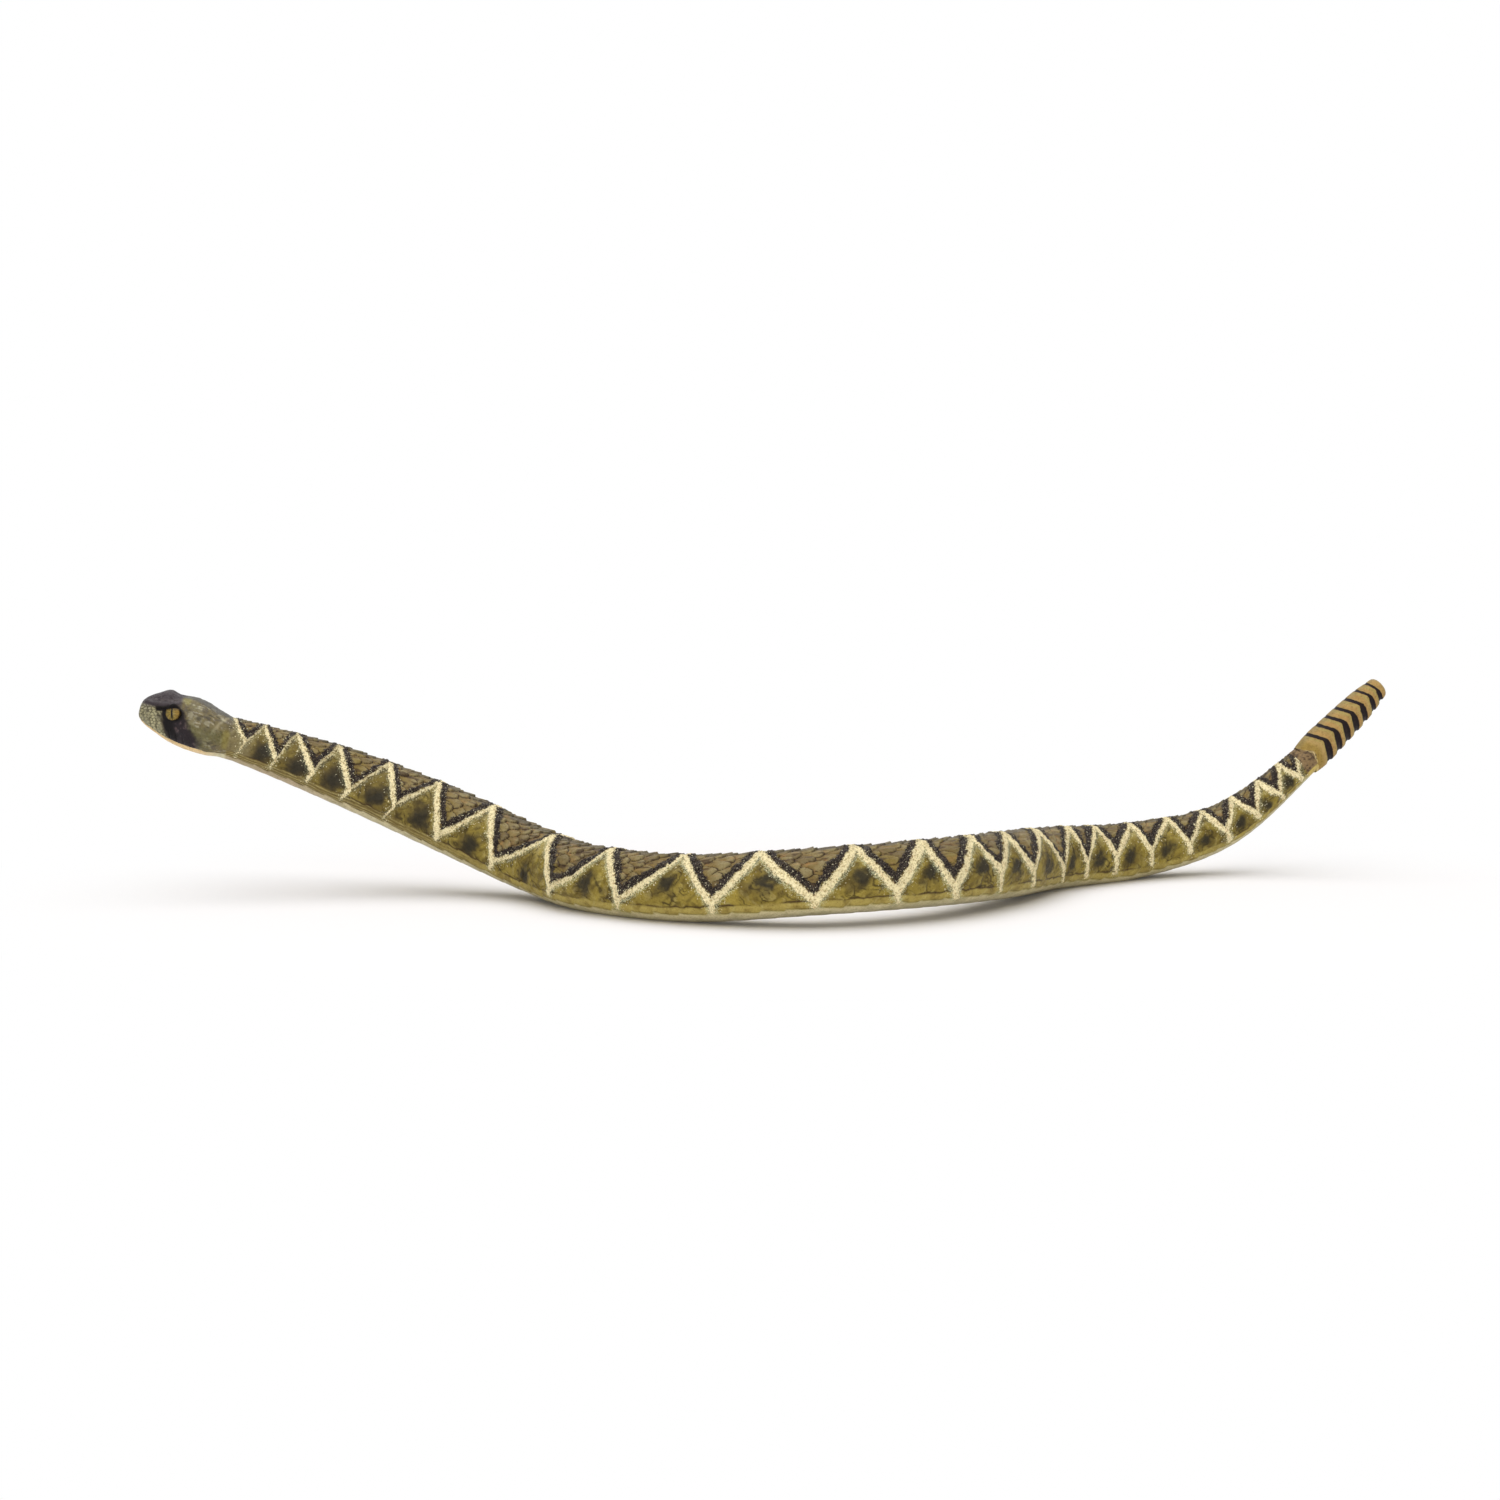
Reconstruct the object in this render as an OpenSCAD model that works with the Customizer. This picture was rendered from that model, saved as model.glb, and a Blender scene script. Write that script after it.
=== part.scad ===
/* [Body] */
// Height of the body along its thickest stretch
body_h = 18; // [16:0.5:20]
// Width of the body as a share of its height
width_share = 1.04; // [0.95:0.01:1.15]
// Depth of the flat along the belly where it rests
rest_flat = 0.5; // [0.2:0.1:1]
// Angle from the middle of the back down to the flank seam
seam_angle = 118; // [105:1:130]

/* [Bending] */
// Bend to either side at a neck or body station that turns sideways
yaw_range = 22; // [10:1:24]
// Bend up or down at a station that lifts
pitch_range = 18; // [10:1:24]
// Nod of the head and of the rattle, up or down
nod_range = 20; // [10:1:24]
// Half of the gap between two lengths of skin at the bend axis
gap = 0.15; // [0.1:0.05:0.3]

/* [Core wire] */
// Diameter of the soft steel wire
wire_d = 2; // [1.6:0.1:2.4]
// Clearance between the wire and the vinyl round it
wire_play = 0.03; // [0.02:0.01:0.1]
// Clearance between the end of one length of wire and the ball end of the next
ball_play = 0.2; // [0.15:0.05:0.3]
// Radius of the hollow round each ball end
ball_room = 1.6; // [1.5:0.1:2]
// Length of wire inside the head
head_wire = 12; // [9:0.5:13]
// Length of wire inside the rattle
rattle_wire = 12; // [8:0.5:15]
// Length of the cap on each end of the wire
cap_length = 4; // [3:0.5:5]
// Wall thickness of the cap
cap_wall = 0.8; // [0.5:0.1:1]

/* [Head] */
// Diameter of the eye bead
eye_d = 5.2; // [4.8:0.1:5.6]
// Distance of the eye from the nape, along the head
eye_u = 17.6; // [17:0.2:20]
// Height of the eye above the middle line of the head
eye_v = 3.2; // [1.5:0.1:4]
// How far the bead's centre stands from the middle plane of the head
eye_out = 5.4; // [4.8:0.1:5.8]
// Squareness of the head's cross-section, 1 is an ellipse
head_square = 0.86; // [0.75:0.01:1]

/* [Rattle] */
// Height of the rattle at its largest ring
rattle_h = 9.8; // [8:0.1:11]
// Width of the rattle as a share of its height
rattle_width_share = 0.78; // [0.6:0.01:1]
// How far each ring's rim runs forward at the side
rim_sweep = 2; // [0:0.1:3]
// Depth of the grooves between the rings
groove_depth = 0.55; // [0.2:0.05:0.9]

/* [Hidden] */
LENGTHS = 12;

VINYL_BACK = [0.42, 0.34, 0.24];
VINYL_BELLY = [0.72, 0.70, 0.50];
VINYL_HEAD = [0.38, 0.36, 0.30];
VINYL_JAW = [0.80, 0.68, 0.48];
RATTLE_TAN = [0.62, 0.50, 0.26];
STEEL = [0.62, 0.63, 0.65];
CAP_GREY = [0.30, 0.30, 0.32];
AMBER = [0.75, 0.55, 0.16];

// Middle of the body in plan at each bend station, from the nape to the rattle
PLAN = [[-112.3, 54.5], [-83.2, 53.6], [-55, 49.6], [-29.8, 36.4], [-12.5, 11.7], [14, -9.5], [46.5, -17],
        [76.5, -3], [97, 24], [112, 55.5], [136.2, 77.8], [163.2, 90], [187.2, 97.5]];
// Height of the belly above the table at each station
LIFT = [35.7, 23.7, 11.4, 1.7, -rest_flat, 0, 2.8, 3.1, 1.6, -0.2, -0.2, 7.5, 27.4];
// Height of the body at each station as a share of the thickest
THICKNESS = [0.65, 0.88, 1, 1, 1, 0.99, 0.98, 0.99, 1, 0.96, 0.88, 0.68, 0.46];
// Stations that bend up and down; the others bend sideways
LIFTING = [0, 2, 4, 10, 12];
// Tip of the snout and tip of the rattle, with the heights that the taper heads for
SNOUT = [-139.5, 56, 48.9, 9];
RATTLE_TIP = [209, 105.5, 51.7, 6];

BACK_SIDES = 22;
BELLY_SIDES = 12;
RINGS_PER_LENGTH = 6;
REACH = 14;
TABLE = 500;
CUT_DEPTH = 20;
OVERRUN = 2;

// Outline of the head: distance from the nape, then the height of the crown, mouth and chin and the half width
HEAD = [[-1.5, 5.5, -4.4, -5.8, 5.9], [1.5, 5.6, -4.4, -5.8, 6.2], [3.6, 5.9, -4.3, -5.7, 7.3],
        [6.8, 6.7, -4.5, -6.2, 9.2], [10, 7.8, -4.5, -6.2, 9.8], [13, 8.3, -4.5, -6.1, 9.2],
        [16, 8.2, -4.3, -5.7, 7.9], [18.3, 8.1, -4, -5.2, 7.1], [20.4, 8.8, -3.5, -4.5, 6.6],
        [21.6, 8.6, -3.1, -4, 6.2], [22.8, 7.9, -2.7, -3.6, 5.8], [24.6, 6.5, -2.1, -2.9, 5.2],
        [26.4, 5.2, -1.3, -1.9, 4.3], [27.3, 4.1, -0.6, -1, 3.3], [27.8, 2.8, 0.2, -0.1, 2.1]];
HEAD_SIDES = 20;
JAW_SIDES = 10;

// Rattle: distance of each groove from the base, and the share of the height there
GROOVES = [[4.6, 1], [8.7, 0.97], [12.3, 0.94], [16.1, 0.91], [19.9, 0.86], [23.8, 0.8], [27.1, 0.68]];
RATTLE_LENGTH = 30.8;
RATTLE_BASE = 0.88;
RATTLE_END = 0.46;
RATTLE_SIDES = 20;
GROOVE_HALF = 0.5;

function unit(v) = v / norm(v);
function xyz(v) = [v[0], v[1], v[2]];
function station_height(k) = body_h * THICKNESS[k];
function station(k) =
    k < 0 ? SNOUT :
    k > LENGTHS ? RATTLE_TIP :
    [PLAN[k][0], PLAN[k][1], LIFT[k] + station_height(k) / 2, station_height(k)];
function slope(k) = (station(k + 1) - station(k - 1)) / 2;

// Point of the middle line with the body's height there, t from 0 at station k to 1 at the next
function course(k, t) =
    station(k) * (2 * t^3 - 3 * t^2 + 1) + slope(k) * (t^3 - 2 * t^2 + t)
    + station(k + 1) * (3 * t^2 - 2 * t^3) + slope(k + 1) * (t^3 - t^2);
function heading(k, t) = unit(xyz(
    station(k) * (6 * t^2 - 6 * t) + slope(k) * (3 * t^2 - 4 * t + 1)
    + station(k + 1) * (6 * t - 6 * t^2) + slope(k + 1) * (3 * t^2 - 2 * t)));
function station_heading(k) = unit(xyz(slope(k)));
function side_of(d) = unit(cross([0, 0, 1], d));
function up_of(d) = cross(d, side_of(d));
function lifts(k) = len(search(k, LIFTING)) > 0;
function bend_axis(k) = lifts(k) ? side_of(station_heading(k)) : up_of(station_heading(k));
function bend_range(k) = k == 0 || k == LENGTHS ? nod_range : lifts(k) ? pitch_range : yaw_range;

// One ring of the body's outline between two angles, measured from the side round over the back
function body_ring(k, t, from, to, steps) =
    let (c = course(k, t), d = heading(k, t), side = side_of(d), up = up_of(d), r = c[3] / 2)
    [for (i = [0:steps])
        let (a = from + (to - from) * i / steps)
        xyz(c) + side * r * width_share * cos(a) + up * r * sin(a)];

// Closed solid through rings of equal count; crossed turns the diagonal of the closing strip
module loft(rings, crossed = false) {
    n = len(rings[0]);
    last = len(rings) - 1;
    walls = [for (i = [0:last - 1]) for (j = [0:n - 1])
        let (a = i * n + j, b = a + n, c = (i + 1) * n + (j + 1) % n, e = i * n + (j + 1) % n)
        each crossed && j == n - 1 ? [[a, b, e], [b, c, e]] : [[a, b, c], [a, c, e]]];
    ends = [[for (j = [n - 1:-1:0]) j], [for (j = [0:n - 1]) last * n + j]];
    polyhedron([for (r = rings) each r], concat(walls, ends), convexity = 6);
}

// Carries its children to point p, with their x along d and their z along the given axis
module placed(p, d, axis) {
    y = cross(axis, d);
    multmatrix([[d[0], y[0], axis[0], p[0]], [d[1], y[1], axis[1], p[1]], [d[2], y[2], axis[2], p[2]], [0, 0, 0, 1]])
        children();
}

// Room beyond station k for the next length to swing; way is 1 past the tail end and -1 past the head end
module bend_room(k, way) {
    slant = REACH * tan(bend_range(k) / 2 + 0.5);
    placed(xyz(station(k)), way * station_heading(k), bend_axis(k))
        linear_extrude(height = 2 * REACH, center = true)
        polygon([[-gap, 0], [-gap - slant, REACH], [REACH, REACH], [REACH, -REACH], [-gap - slant, -REACH]]);
}

// Straight round bar from p to q, run on past both by the given amount
module bar(p, q, d, past = 0) {
    along = unit(q - p);
    placed(p - along * past, along, up_of(along))
        rotate([0, 90, 0])
        cylinder(h = norm(q - p) + 2 * past, d = d, $fn = 32);
}

module ball(k, r) {
    translate(xyz(station(k))) sphere(r = r, $fn = 32);
}

module back_skin(k) {
    color(VINYL_BACK)
    difference() {
        loft([for (i = [0:RINGS_PER_LENGTH])
            body_ring(k - 1, i / RINGS_PER_LENGTH, 90 - seam_angle, 90 + seam_angle, BACK_SIDES)]);
        bend_room(k - 1, -1);
        bend_room(k, 1);
        bar(xyz(station(k - 1)), xyz(station(k)), wire_d + 2 * wire_play, OVERRUN);
        ball(k - 1, ball_room);
        ball(k, ball_room);
    }
}

module belly_skin(k) {
    color(VINYL_BELLY)
    difference() {
        loft([for (i = [0:RINGS_PER_LENGTH])
            body_ring(k - 1, i / RINGS_PER_LENGTH, 90 + seam_angle, 450 - seam_angle, BELLY_SIDES)], true);
        bend_room(k - 1, -1);
        bend_room(k, 1);
        translate([-TABLE / 2, -TABLE / 2, -CUT_DEPTH]) cube([TABLE, TABLE, CUT_DEPTH]);
    }
}

// Wire between two stations, with a ball end at the first and a cup at the second
module core_wire(k) {
    color(STEEL) {
        difference() {
            union() {
                bar(xyz(station(k - 1)), xyz(station(k)), wire_d);
                ball(k - 1, wire_d / 2);
            }
            ball(k, wire_d / 2 + ball_play);
        }
    }
}

// Head: u runs from the nape to the snout, v is up
function head_dir() = unit(xyz(SNOUT - station(0)));
function head_side() = side_of(-head_dir());
function head_up() = cross(-head_dir(), head_side());
function head_point(u, out, v) = xyz(station(0)) + head_dir() * u + head_side() * out + head_up() * v;
function power(x, e) = sign(x) * pow(abs(x), e);

// Ring of the head between its mouth line and the crown (upper) or the chin (lower)
function head_ring(row, upper) =
    let (mid = (row[1] + row[3]) / 2, half = (row[1] - row[3]) / 2,
        dip = asin(pow((mid - row[2]) / half, 1 / head_square)),
        from = upper ? -dip : 180 + dip,
        to = upper ? 180 + dip : 360 - dip,
        steps = upper ? HEAD_SIDES : JAW_SIDES)
    [for (i = [0:steps])
        let (a = from + (to - from) * i / steps)
        head_point(row[0], row[4] * power(cos(a), head_square), mid + half * power(sin(a), head_square))];

module head_loft(upper) {
    rows = len(HEAD);
    loft([for (i = [rows - 1:-1:0]) head_ring(HEAD[i], upper)], !upper);
}

module head() {
    color(VINYL_HEAD)
    difference() {
        head_loft(true);
        bend_room(0, 1);
        bar(xyz(station(0)), head_point(head_wire, 0, 0), wire_d + 2 * wire_play, 0);
        bar(head_point(head_wire - cap_length + cap_wall, 0, 0), head_point(head_wire + cap_wall, 0, 0),
            wire_d + 2 * cap_wall + 2 * wire_play, 0);
        ball(0, ball_room);
        for (way = [-1, 1]) eye_ball(way, wire_play);
    }
}

module lower_jaw() {
    color(VINYL_JAW)
    difference() {
        head_loft(false);
        bend_room(0, 1);
    }
}

module eye_ball(way, play) {
    translate(head_point(eye_u, way * eye_out, eye_v)) sphere(d = eye_d + 2 * play, $fn = 48);
}

module left_eye() {
    color(AMBER) eye_ball(-1, 0);
}

module right_eye() {
    color(AMBER) eye_ball(1, 0);
}

module head_core_wire() {
    color(STEEL)
    difference() {
        bar(xyz(station(0)), head_point(head_wire, 0, 0), wire_d);
        ball(0, wire_d / 2 + ball_play);
    }
}

module head_wire_cap() {
    color(CAP_GREY)
    difference() {
        bar(head_point(head_wire - cap_length + cap_wall, 0, 0), head_point(head_wire + cap_wall, 0, 0),
            wire_d + 2 * cap_wall);
        bar(head_point(head_wire - cap_length, 0, 0), head_point(head_wire, 0, 0), wire_d);
    }
}

// Rattle: s runs from the base to the tip
function rattle_dir() = unit(xyz(RATTLE_TIP - station(LENGTHS)));
function rattle_point(s) = xyz(station(LENGTHS)) + rattle_dir() * s;
function rattle_ring(s, share) =
    let (d = rattle_dir(), side = side_of(d), up = up_of(d), r = rattle_h * share / 2, lean = min(1, s / 4))
    [for (i = [0:RATTLE_SIDES - 1])
        let (a = 360 * i / RATTLE_SIDES)
        rattle_point(s + lean * rim_sweep * (abs(cos(a)) - 0.6))
            + side * r * rattle_width_share * cos(a) + up * r * sin(a)];

// Rings of one segment: out of the groove, over its crown and down to the next groove
function rattle_rows() = concat(
    [[-1, RATTLE_BASE], [0.8, RATTLE_BASE + 0.06]],
    [for (i = [0:len(GROOVES) - 1]) each
        let (g = GROOVES[i], cut = 2 * groove_depth / rattle_h, s = g[0], share = g[1])
        [[s - GROOVE_HALF, share], [s - 0.2, share - cut], [s + 0.2, share - cut], [s + GROOVE_HALF, share - 0.02]]],
    [[RATTLE_LENGTH - 2.2, RATTLE_END + 0.18], [RATTLE_LENGTH - 1, RATTLE_END]]);

module rattle() {
    color(RATTLE_TAN)
    difference() {
        loft([for (row = rattle_rows()) rattle_ring(row[0], row[1])]);
        bend_room(LENGTHS, -1);
        bar(xyz(station(LENGTHS)), rattle_point(rattle_wire), wire_d + 2 * wire_play, 0);
        bar(rattle_point(rattle_wire - cap_length + cap_wall), rattle_point(rattle_wire + cap_wall),
            wire_d + 2 * cap_wall + 2 * wire_play, 0);
        ball(LENGTHS, ball_room);
    }
}

module rattle_core_wire() {
    color(STEEL)
    union() {
        bar(xyz(station(LENGTHS)), rattle_point(rattle_wire), wire_d);
        ball(LENGTHS, wire_d / 2);
    }
}

module rattle_wire_cap() {
    color(CAP_GREY)
    difference() {
        bar(rattle_point(rattle_wire - cap_length + cap_wall), rattle_point(rattle_wire + cap_wall),
            wire_d + 2 * cap_wall);
        bar(rattle_point(rattle_wire - cap_length), rattle_point(rattle_wire), wire_d);
    }
}

head();
lower_jaw();
left_eye();
right_eye();
for (k = [1:LENGTHS]) {
    back_skin(k);
    belly_skin(k);
    core_wire(k);
}
head_core_wire();
rattle_core_wire();
head_wire_cap();
rattle_wire_cap();
rattle();
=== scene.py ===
import math

import bpy
import numpy as np
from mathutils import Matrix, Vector


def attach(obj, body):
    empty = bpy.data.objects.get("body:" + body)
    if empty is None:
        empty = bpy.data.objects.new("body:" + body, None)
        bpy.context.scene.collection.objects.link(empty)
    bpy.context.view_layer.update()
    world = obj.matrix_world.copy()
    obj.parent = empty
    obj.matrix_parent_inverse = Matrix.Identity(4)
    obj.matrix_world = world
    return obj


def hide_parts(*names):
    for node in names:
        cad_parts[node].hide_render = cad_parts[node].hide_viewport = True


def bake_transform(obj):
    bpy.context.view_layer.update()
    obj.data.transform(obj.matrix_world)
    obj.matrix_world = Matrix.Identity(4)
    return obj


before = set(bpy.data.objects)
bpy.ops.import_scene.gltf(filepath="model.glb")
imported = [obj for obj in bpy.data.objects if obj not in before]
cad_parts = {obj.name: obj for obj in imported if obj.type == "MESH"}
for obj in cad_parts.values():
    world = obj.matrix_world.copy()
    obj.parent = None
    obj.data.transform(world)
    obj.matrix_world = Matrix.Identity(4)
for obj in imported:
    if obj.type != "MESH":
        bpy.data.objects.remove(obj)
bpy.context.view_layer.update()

# Lengths are in millimetres until a mesh is written.
MM = 0.001

# Body: full height, width against height, height lost to its flat rest, the flank seam's angle from the
# middle of the back, and the number of lengths
BODY_H = 18
WIDTH_SHARE = 1.04
REST_FLAT = 0.5
SEAM_ANGLE = 118
LENGTHS = 12

# Each bend station, as in the solids: place from above, height of its underside, and share of BODY_H
PLAN = [(-112.3, 54.5), (-83.2, 53.6), (-55, 49.6), (-29.8, 36.4), (-12.5, 11.7), (14, -9.5), (46.5, -17),
        (76.5, -3), (97, 24), (112, 55.5), (136.2, 77.8), (163.2, 90), (187.2, 97.5)]
LIFT = [35.7, 23.7, 11.4, 1.7, -REST_FLAT, 0, 2.8, 3.1, 1.6, -0.2, -0.2, 7.5, 27.4]
THICKNESS = [0.65, 0.88, 1, 1, 1, 0.99, 0.98, 0.99, 1, 0.96, 0.88, 0.68, 0.46]
# Place and height at the snout and at the rattle's tip
SNOUT = np.array([-139.5, 56, 48.9, 9])
RATTLE_TIP = np.array([209, 105.5, 51.7, 6])

# Head: distance from the nape, then crown, mouth, chin and half width; its outline is squarer than an oval
HEAD = np.array([
    [-1.5, 5.5, -4.4, -5.8, 5.9], [1.5, 5.6, -4.4, -5.8, 6.2], [3.6, 5.9, -4.3, -5.7, 7.3],
    [6.8, 6.7, -4.5, -6.2, 9.2], [10, 7.8, -4.5, -6.2, 9.8], [13, 8.3, -4.5, -6.1, 9.2],
    [16, 8.2, -4.3, -5.7, 7.9], [18.3, 8.1, -4, -5.2, 7.1], [20.4, 8.8, -3.5, -4.5, 6.6],
    [21.6, 8.6, -3.1, -4, 6.2], [22.8, 7.9, -2.7, -3.6, 5.8], [24.6, 6.5, -2.1, -2.9, 5.2],
    [26.4, 5.2, -1.3, -1.9, 4.3], [27.3, 4.1, -0.6, -1, 3.3], [27.8, 2.8, 0.2, -0.1, 2.1]])
HEAD_SQUARE = 0.86
HEAD_LENGTH = 27.5
# Height of the brow's edge at distances from the nape, places (u, v) on the side of the head, and the eye:
# middle, radius, tilt, half length and half height of its opening, and where the brow cuts that off
BROW_LINE = ([13, 15.9, 17.8, 19.6, 23, 26.7], [7.2, 6.2, 5.3, 4.8, 3.9, 3.6])
PIT = (21.6, 1.6)
NOSTRIL = (25.2, 1.9)
EYE_U = 17.6
EYE_V = 3.2
EYE_OUT = 5.4
EYE_R = 2.6
EYE_TILT = math.radians(16.5)
EYE_HALF_LONG = 2.25
EYE_HALF_HIGH = 1.55
BROW_CUT = 1.2

# Zigzag on the viewer's side: distance of each peak from the nape
PEAKS = [-1.8, 6.5, 15.5, 27.5, 42, 57, 74.5, 102, 129.5, 155, 176.5, 200.5, 220.5, 239.5, 257, 280, 299,
         310.5, 325, 338.5, 350.5, 362, 371.5, 379.5, 386]
PEAK_ANGLE = 6
# Each valley: distance from the nape, angle from the middle of the back, and how far cream drips below it
VALLEYS = [(3.2, 80, 4.4), (12.5, 99, 2.4), (23.5, 95, 3.2), (35, 98, 4), (48.5, 93, 5), (64.5, 107, 1),
           (84.5, 102, 2.4), (114.5, 107, 2.4), (139, 111, 2.6), (165, 110, 2.6), (189, 115, 1.8),
           (208.5, 107, 4), (225.5, 110, 3.6), (242, 90.5, 5.6), (259.5, 96, 4.2), (283.5, 103, 3.8),
           (299, 95, 3.9), (312.5, 87, 4.4), (327, 85.5, 3.6), (341.5, 92, 1.8), (354, 93, 2.8),
           (365, 97, 1.2), (374, 104, 1.2), (381.5, 101, 1.2)]
# Zigzag arms: how far they look straight from the side and not on the unrolled skin, their pieces, how far
# from an arm its distance is measured, and where the line starts
STRAIGHTNESS = 0.8
ARM_PIECES = 8
ARM_REACH = 6
LINE_START = PEAKS[0] - 1.5

# Strokes by distance from the nape: half width of the cream, its share on arms that climb tailward, width of
# the dark, how a drip leans and narrows, cover lost on climbing arms, and how much the cream frays
CREAM_HALF = ([0, 10, 25, 40, 60, 100, 235, 250, 320, 386],
              [0.4, 0.5, 0.62, 0.74, 0.84, 0.86, 0.9, 1.05, 0.92, 0.7])
CLIMBING_SHARE = ([0, 40, 60, 150, 175, 195, 235, 255], [0.55, 0.62, 0.74, 0.74, 1.0, 1.15, 1.1, 0.72])
DARK_WIDTH = ([0, 60, 110, 230, 250, 300, 386], [1.45, 1.9, 2.2, 2.1, 2.1, 2.3, 1.8])
DRIP_LEAN = ([40, 100], [0.35, 0.0])
DRIP_TAPER = ([200, 240], [0.11, 0.02])
DRIP_WIDER = ([200, 240], [0.0, 0.05])
COVER_LOST = ([20, 50, 75], [0.38, 0.3, 0.1])
FRINGE = ([50, 130, 240, 290], [0.3, 1.0, 1.0, 0.4])
# Blotch under each peak: share of the way between its valleys, half length, half height, angle from the back
BLOTCH_SHARE = ([0, 60, 230, 250, 290, 386], [0.62, 0.56, 0.56, 0.4, 0.42, 0.47])
BLOTCH_LONG = ([0, 30, 90, 250, 300, 386], [2.3, 3.0, 2.8, 2.9, 3.1, 1.8])
BLOTCH_TALL = ([0, 30, 100, 150, 260, 386], [2.4, 3.6, 3.3, 2.4, 2.9, 1.9])
BLOTCH_ANGLE = ([0, 30, 90, 115, 150, 230, 260, 330, 386], [94, 90, 98, 90, 79, 80, 87, 90, 96])

# Scales: length against the body's radius, degrees between rows, and the leaf that each scale shows, with its
# middle, half length and half width counted in scales
PITCH_SHARE = 0.62
ROW_ANGLE = 13.5
FLANK_ROW_ANGLE = 21
LEAF_MIDDLE = 0.62
LEAF_HALF_LONG = 0.7
LEAF_HALF_WIDE = 0.82

# Skin mesh: steps between rings, points around a ring, the ring that ends the head, the depth of the closed
# snout, and how far the skin goes into the rattle
RING_STEP = 0.3
HEAD_STEP = 0.2
BACK_COLUMNS = 160
BELLY_COLUMNS = 62
COLUMNS = BACK_COLUMNS + BELLY_COLUMNS
HEAD_CUT = 5
CLOSE_DEPTH = 0.3
TAIL_TUCK = 0.8
FAR = 99.0


def smooth(value, low, high):
    """0 below low, 1 above high, and a smooth rise between."""
    t = np.clip((value - low) / (high - low), 0, 1)
    return t * t * (3 - 2 * t)


def fade(value, low, high):
    """1 below low, 0 above high, and a smooth fall between."""
    return 1 - smooth(value, low, high)


def bump(value, middle, width):
    """A rounded hill of height 1."""
    return np.exp(-((value - middle) / width) ** 2)


def between(a, b, share):
    """Numbers between a and b."""
    return a * (1 - share) + b * share


def mixed(a, b, share):
    """Colours or vectors between a and b."""
    return between(np.asarray(a, float), np.asarray(b, float), np.asarray(share)[..., None])


def coats(tone, *layers):
    """A tone under further coats of paint, each a colour and its share."""
    for colour, share in layers:
        tone = mixed(tone, colour, share)
    return tone


def unit(v):
    return v / np.linalg.norm(v, axis=-1, keepdims=True)


def hashed(seed, *keys):
    """Repeatable numbers from 0 to 1 for whole-number keys."""
    mask = np.uint64(0xFFFFFFFF)
    total = np.full(np.shape(keys[0]), 2166136261 + seed * 7919, np.uint64)
    for key in keys:
        bits = np.asarray(key).astype(np.int64).astype(np.uint64) & mask
        total = (total ^ bits) * np.uint64(16777619) & mask
        total ^= total >> np.uint64(15)
        total = total * np.uint64(2246822519) & mask
        total ^= total >> np.uint64(13)
    return total / 2.0 ** 32


def lumps(points, size, seed):
    """Smooth noise from -1 to 1 with lumps of about the given size."""
    cell = points / size
    low = np.floor(cell)
    part = cell - low
    part = part * part * (3 - 2 * part)
    total = 0
    for corner in np.ndindex(2, 2, 2):
        weight = np.prod(np.where(corner, part, 1 - part), axis=-1)
        total = total + weight * hashed(seed, *np.moveaxis(low + corner, -1, 0))
    return 2 * total - 1


def stretched_lumps(x, y, z, seed):
    """Smooth noise over coordinates that are already divided by the lumps' sizes."""
    return lumps(np.stack([x, y, z], -1), 1.0, seed)


# The course: a smooth curve through the stations, with the body's height along it
def station(k):
    if k < 0:
        return SNOUT
    if k > LENGTHS:
        return RATTLE_TIP
    height = BODY_H * THICKNESS[k]
    return np.array([*PLAN[k], LIFT[k] + height / 2, height])


def slope(k):
    return (station(k + 1) - station(k - 1)) / 2


def course(k, t):
    t = t[:, None]
    return (station(k) * (2 * t**3 - 3 * t**2 + 1) + slope(k) * (t**3 - 2 * t**2 + t)
            + station(k + 1) * (3 * t**2 - 2 * t**3) + slope(k + 1) * (t**3 - t**2))


def heading(k, t):
    t = t[:, None]
    return unit((station(k) * (6 * t**2 - 6 * t) + slope(k) * (3 * t**2 - 4 * t + 1)
                 + station(k + 1) * (6 * t - 6 * t**2) + slope(k + 1) * (3 * t**2 - 2 * t))[:, :3])


def side_of(d):
    return unit(np.cross([0, 0, 1.0], d))


HEAD_DIR = unit(SNOUT[:3] - station(0)[:3])
HEAD_SIDE = side_of(-HEAD_DIR)
HEAD_UP = np.cross(-HEAD_DIR, HEAD_SIDE)


def head_point(u, out, v):
    """Point of the head: u from the nape to the snout, out away from the viewer, v up."""
    return station(0)[:3] + HEAD_DIR * u + HEAD_SIDE * out + HEAD_UP * v


# Rings of the skin from the snout to the rattle
def body_rings():
    """Centre with height, direction and distance along the body of each ring; first ring of each length."""
    centres, ways, starts = [], [], []
    for k in range(LENGTHS):
        count = int(np.linalg.norm(station(k + 1)[:3] - station(k)[:3]) / RING_STEP)
        t = np.arange(count) / count
        starts.append(sum(len(c) for c in centres))
        centres.append(course(k, t))
        ways.append(heading(k, t))
    starts.append(sum(len(c) for c in centres))
    centres.append(course(LENGTHS - 1, np.array([1.0])))
    ways.append(heading(LENGTHS - 1, np.array([1.0])))
    centres.append(centres[-1] + np.array([*(TAIL_TUCK * ways[-1][0]), 0]))
    ways.append(ways[-1])
    centres, ways = np.concatenate(centres), np.concatenate(ways)
    along = np.r_[0, np.cumsum(np.linalg.norm(np.diff(centres[:, :3], axis=0), axis=1))]
    return centres, ways, along, starts


body_centres, body_ways, body_along, starts = body_rings()
body_radius = body_centres[:, 3] / 2
body_end = body_along[-1]
head_u = np.arange(HEAD_LENGTH, 0, -HEAD_STEP)
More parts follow.
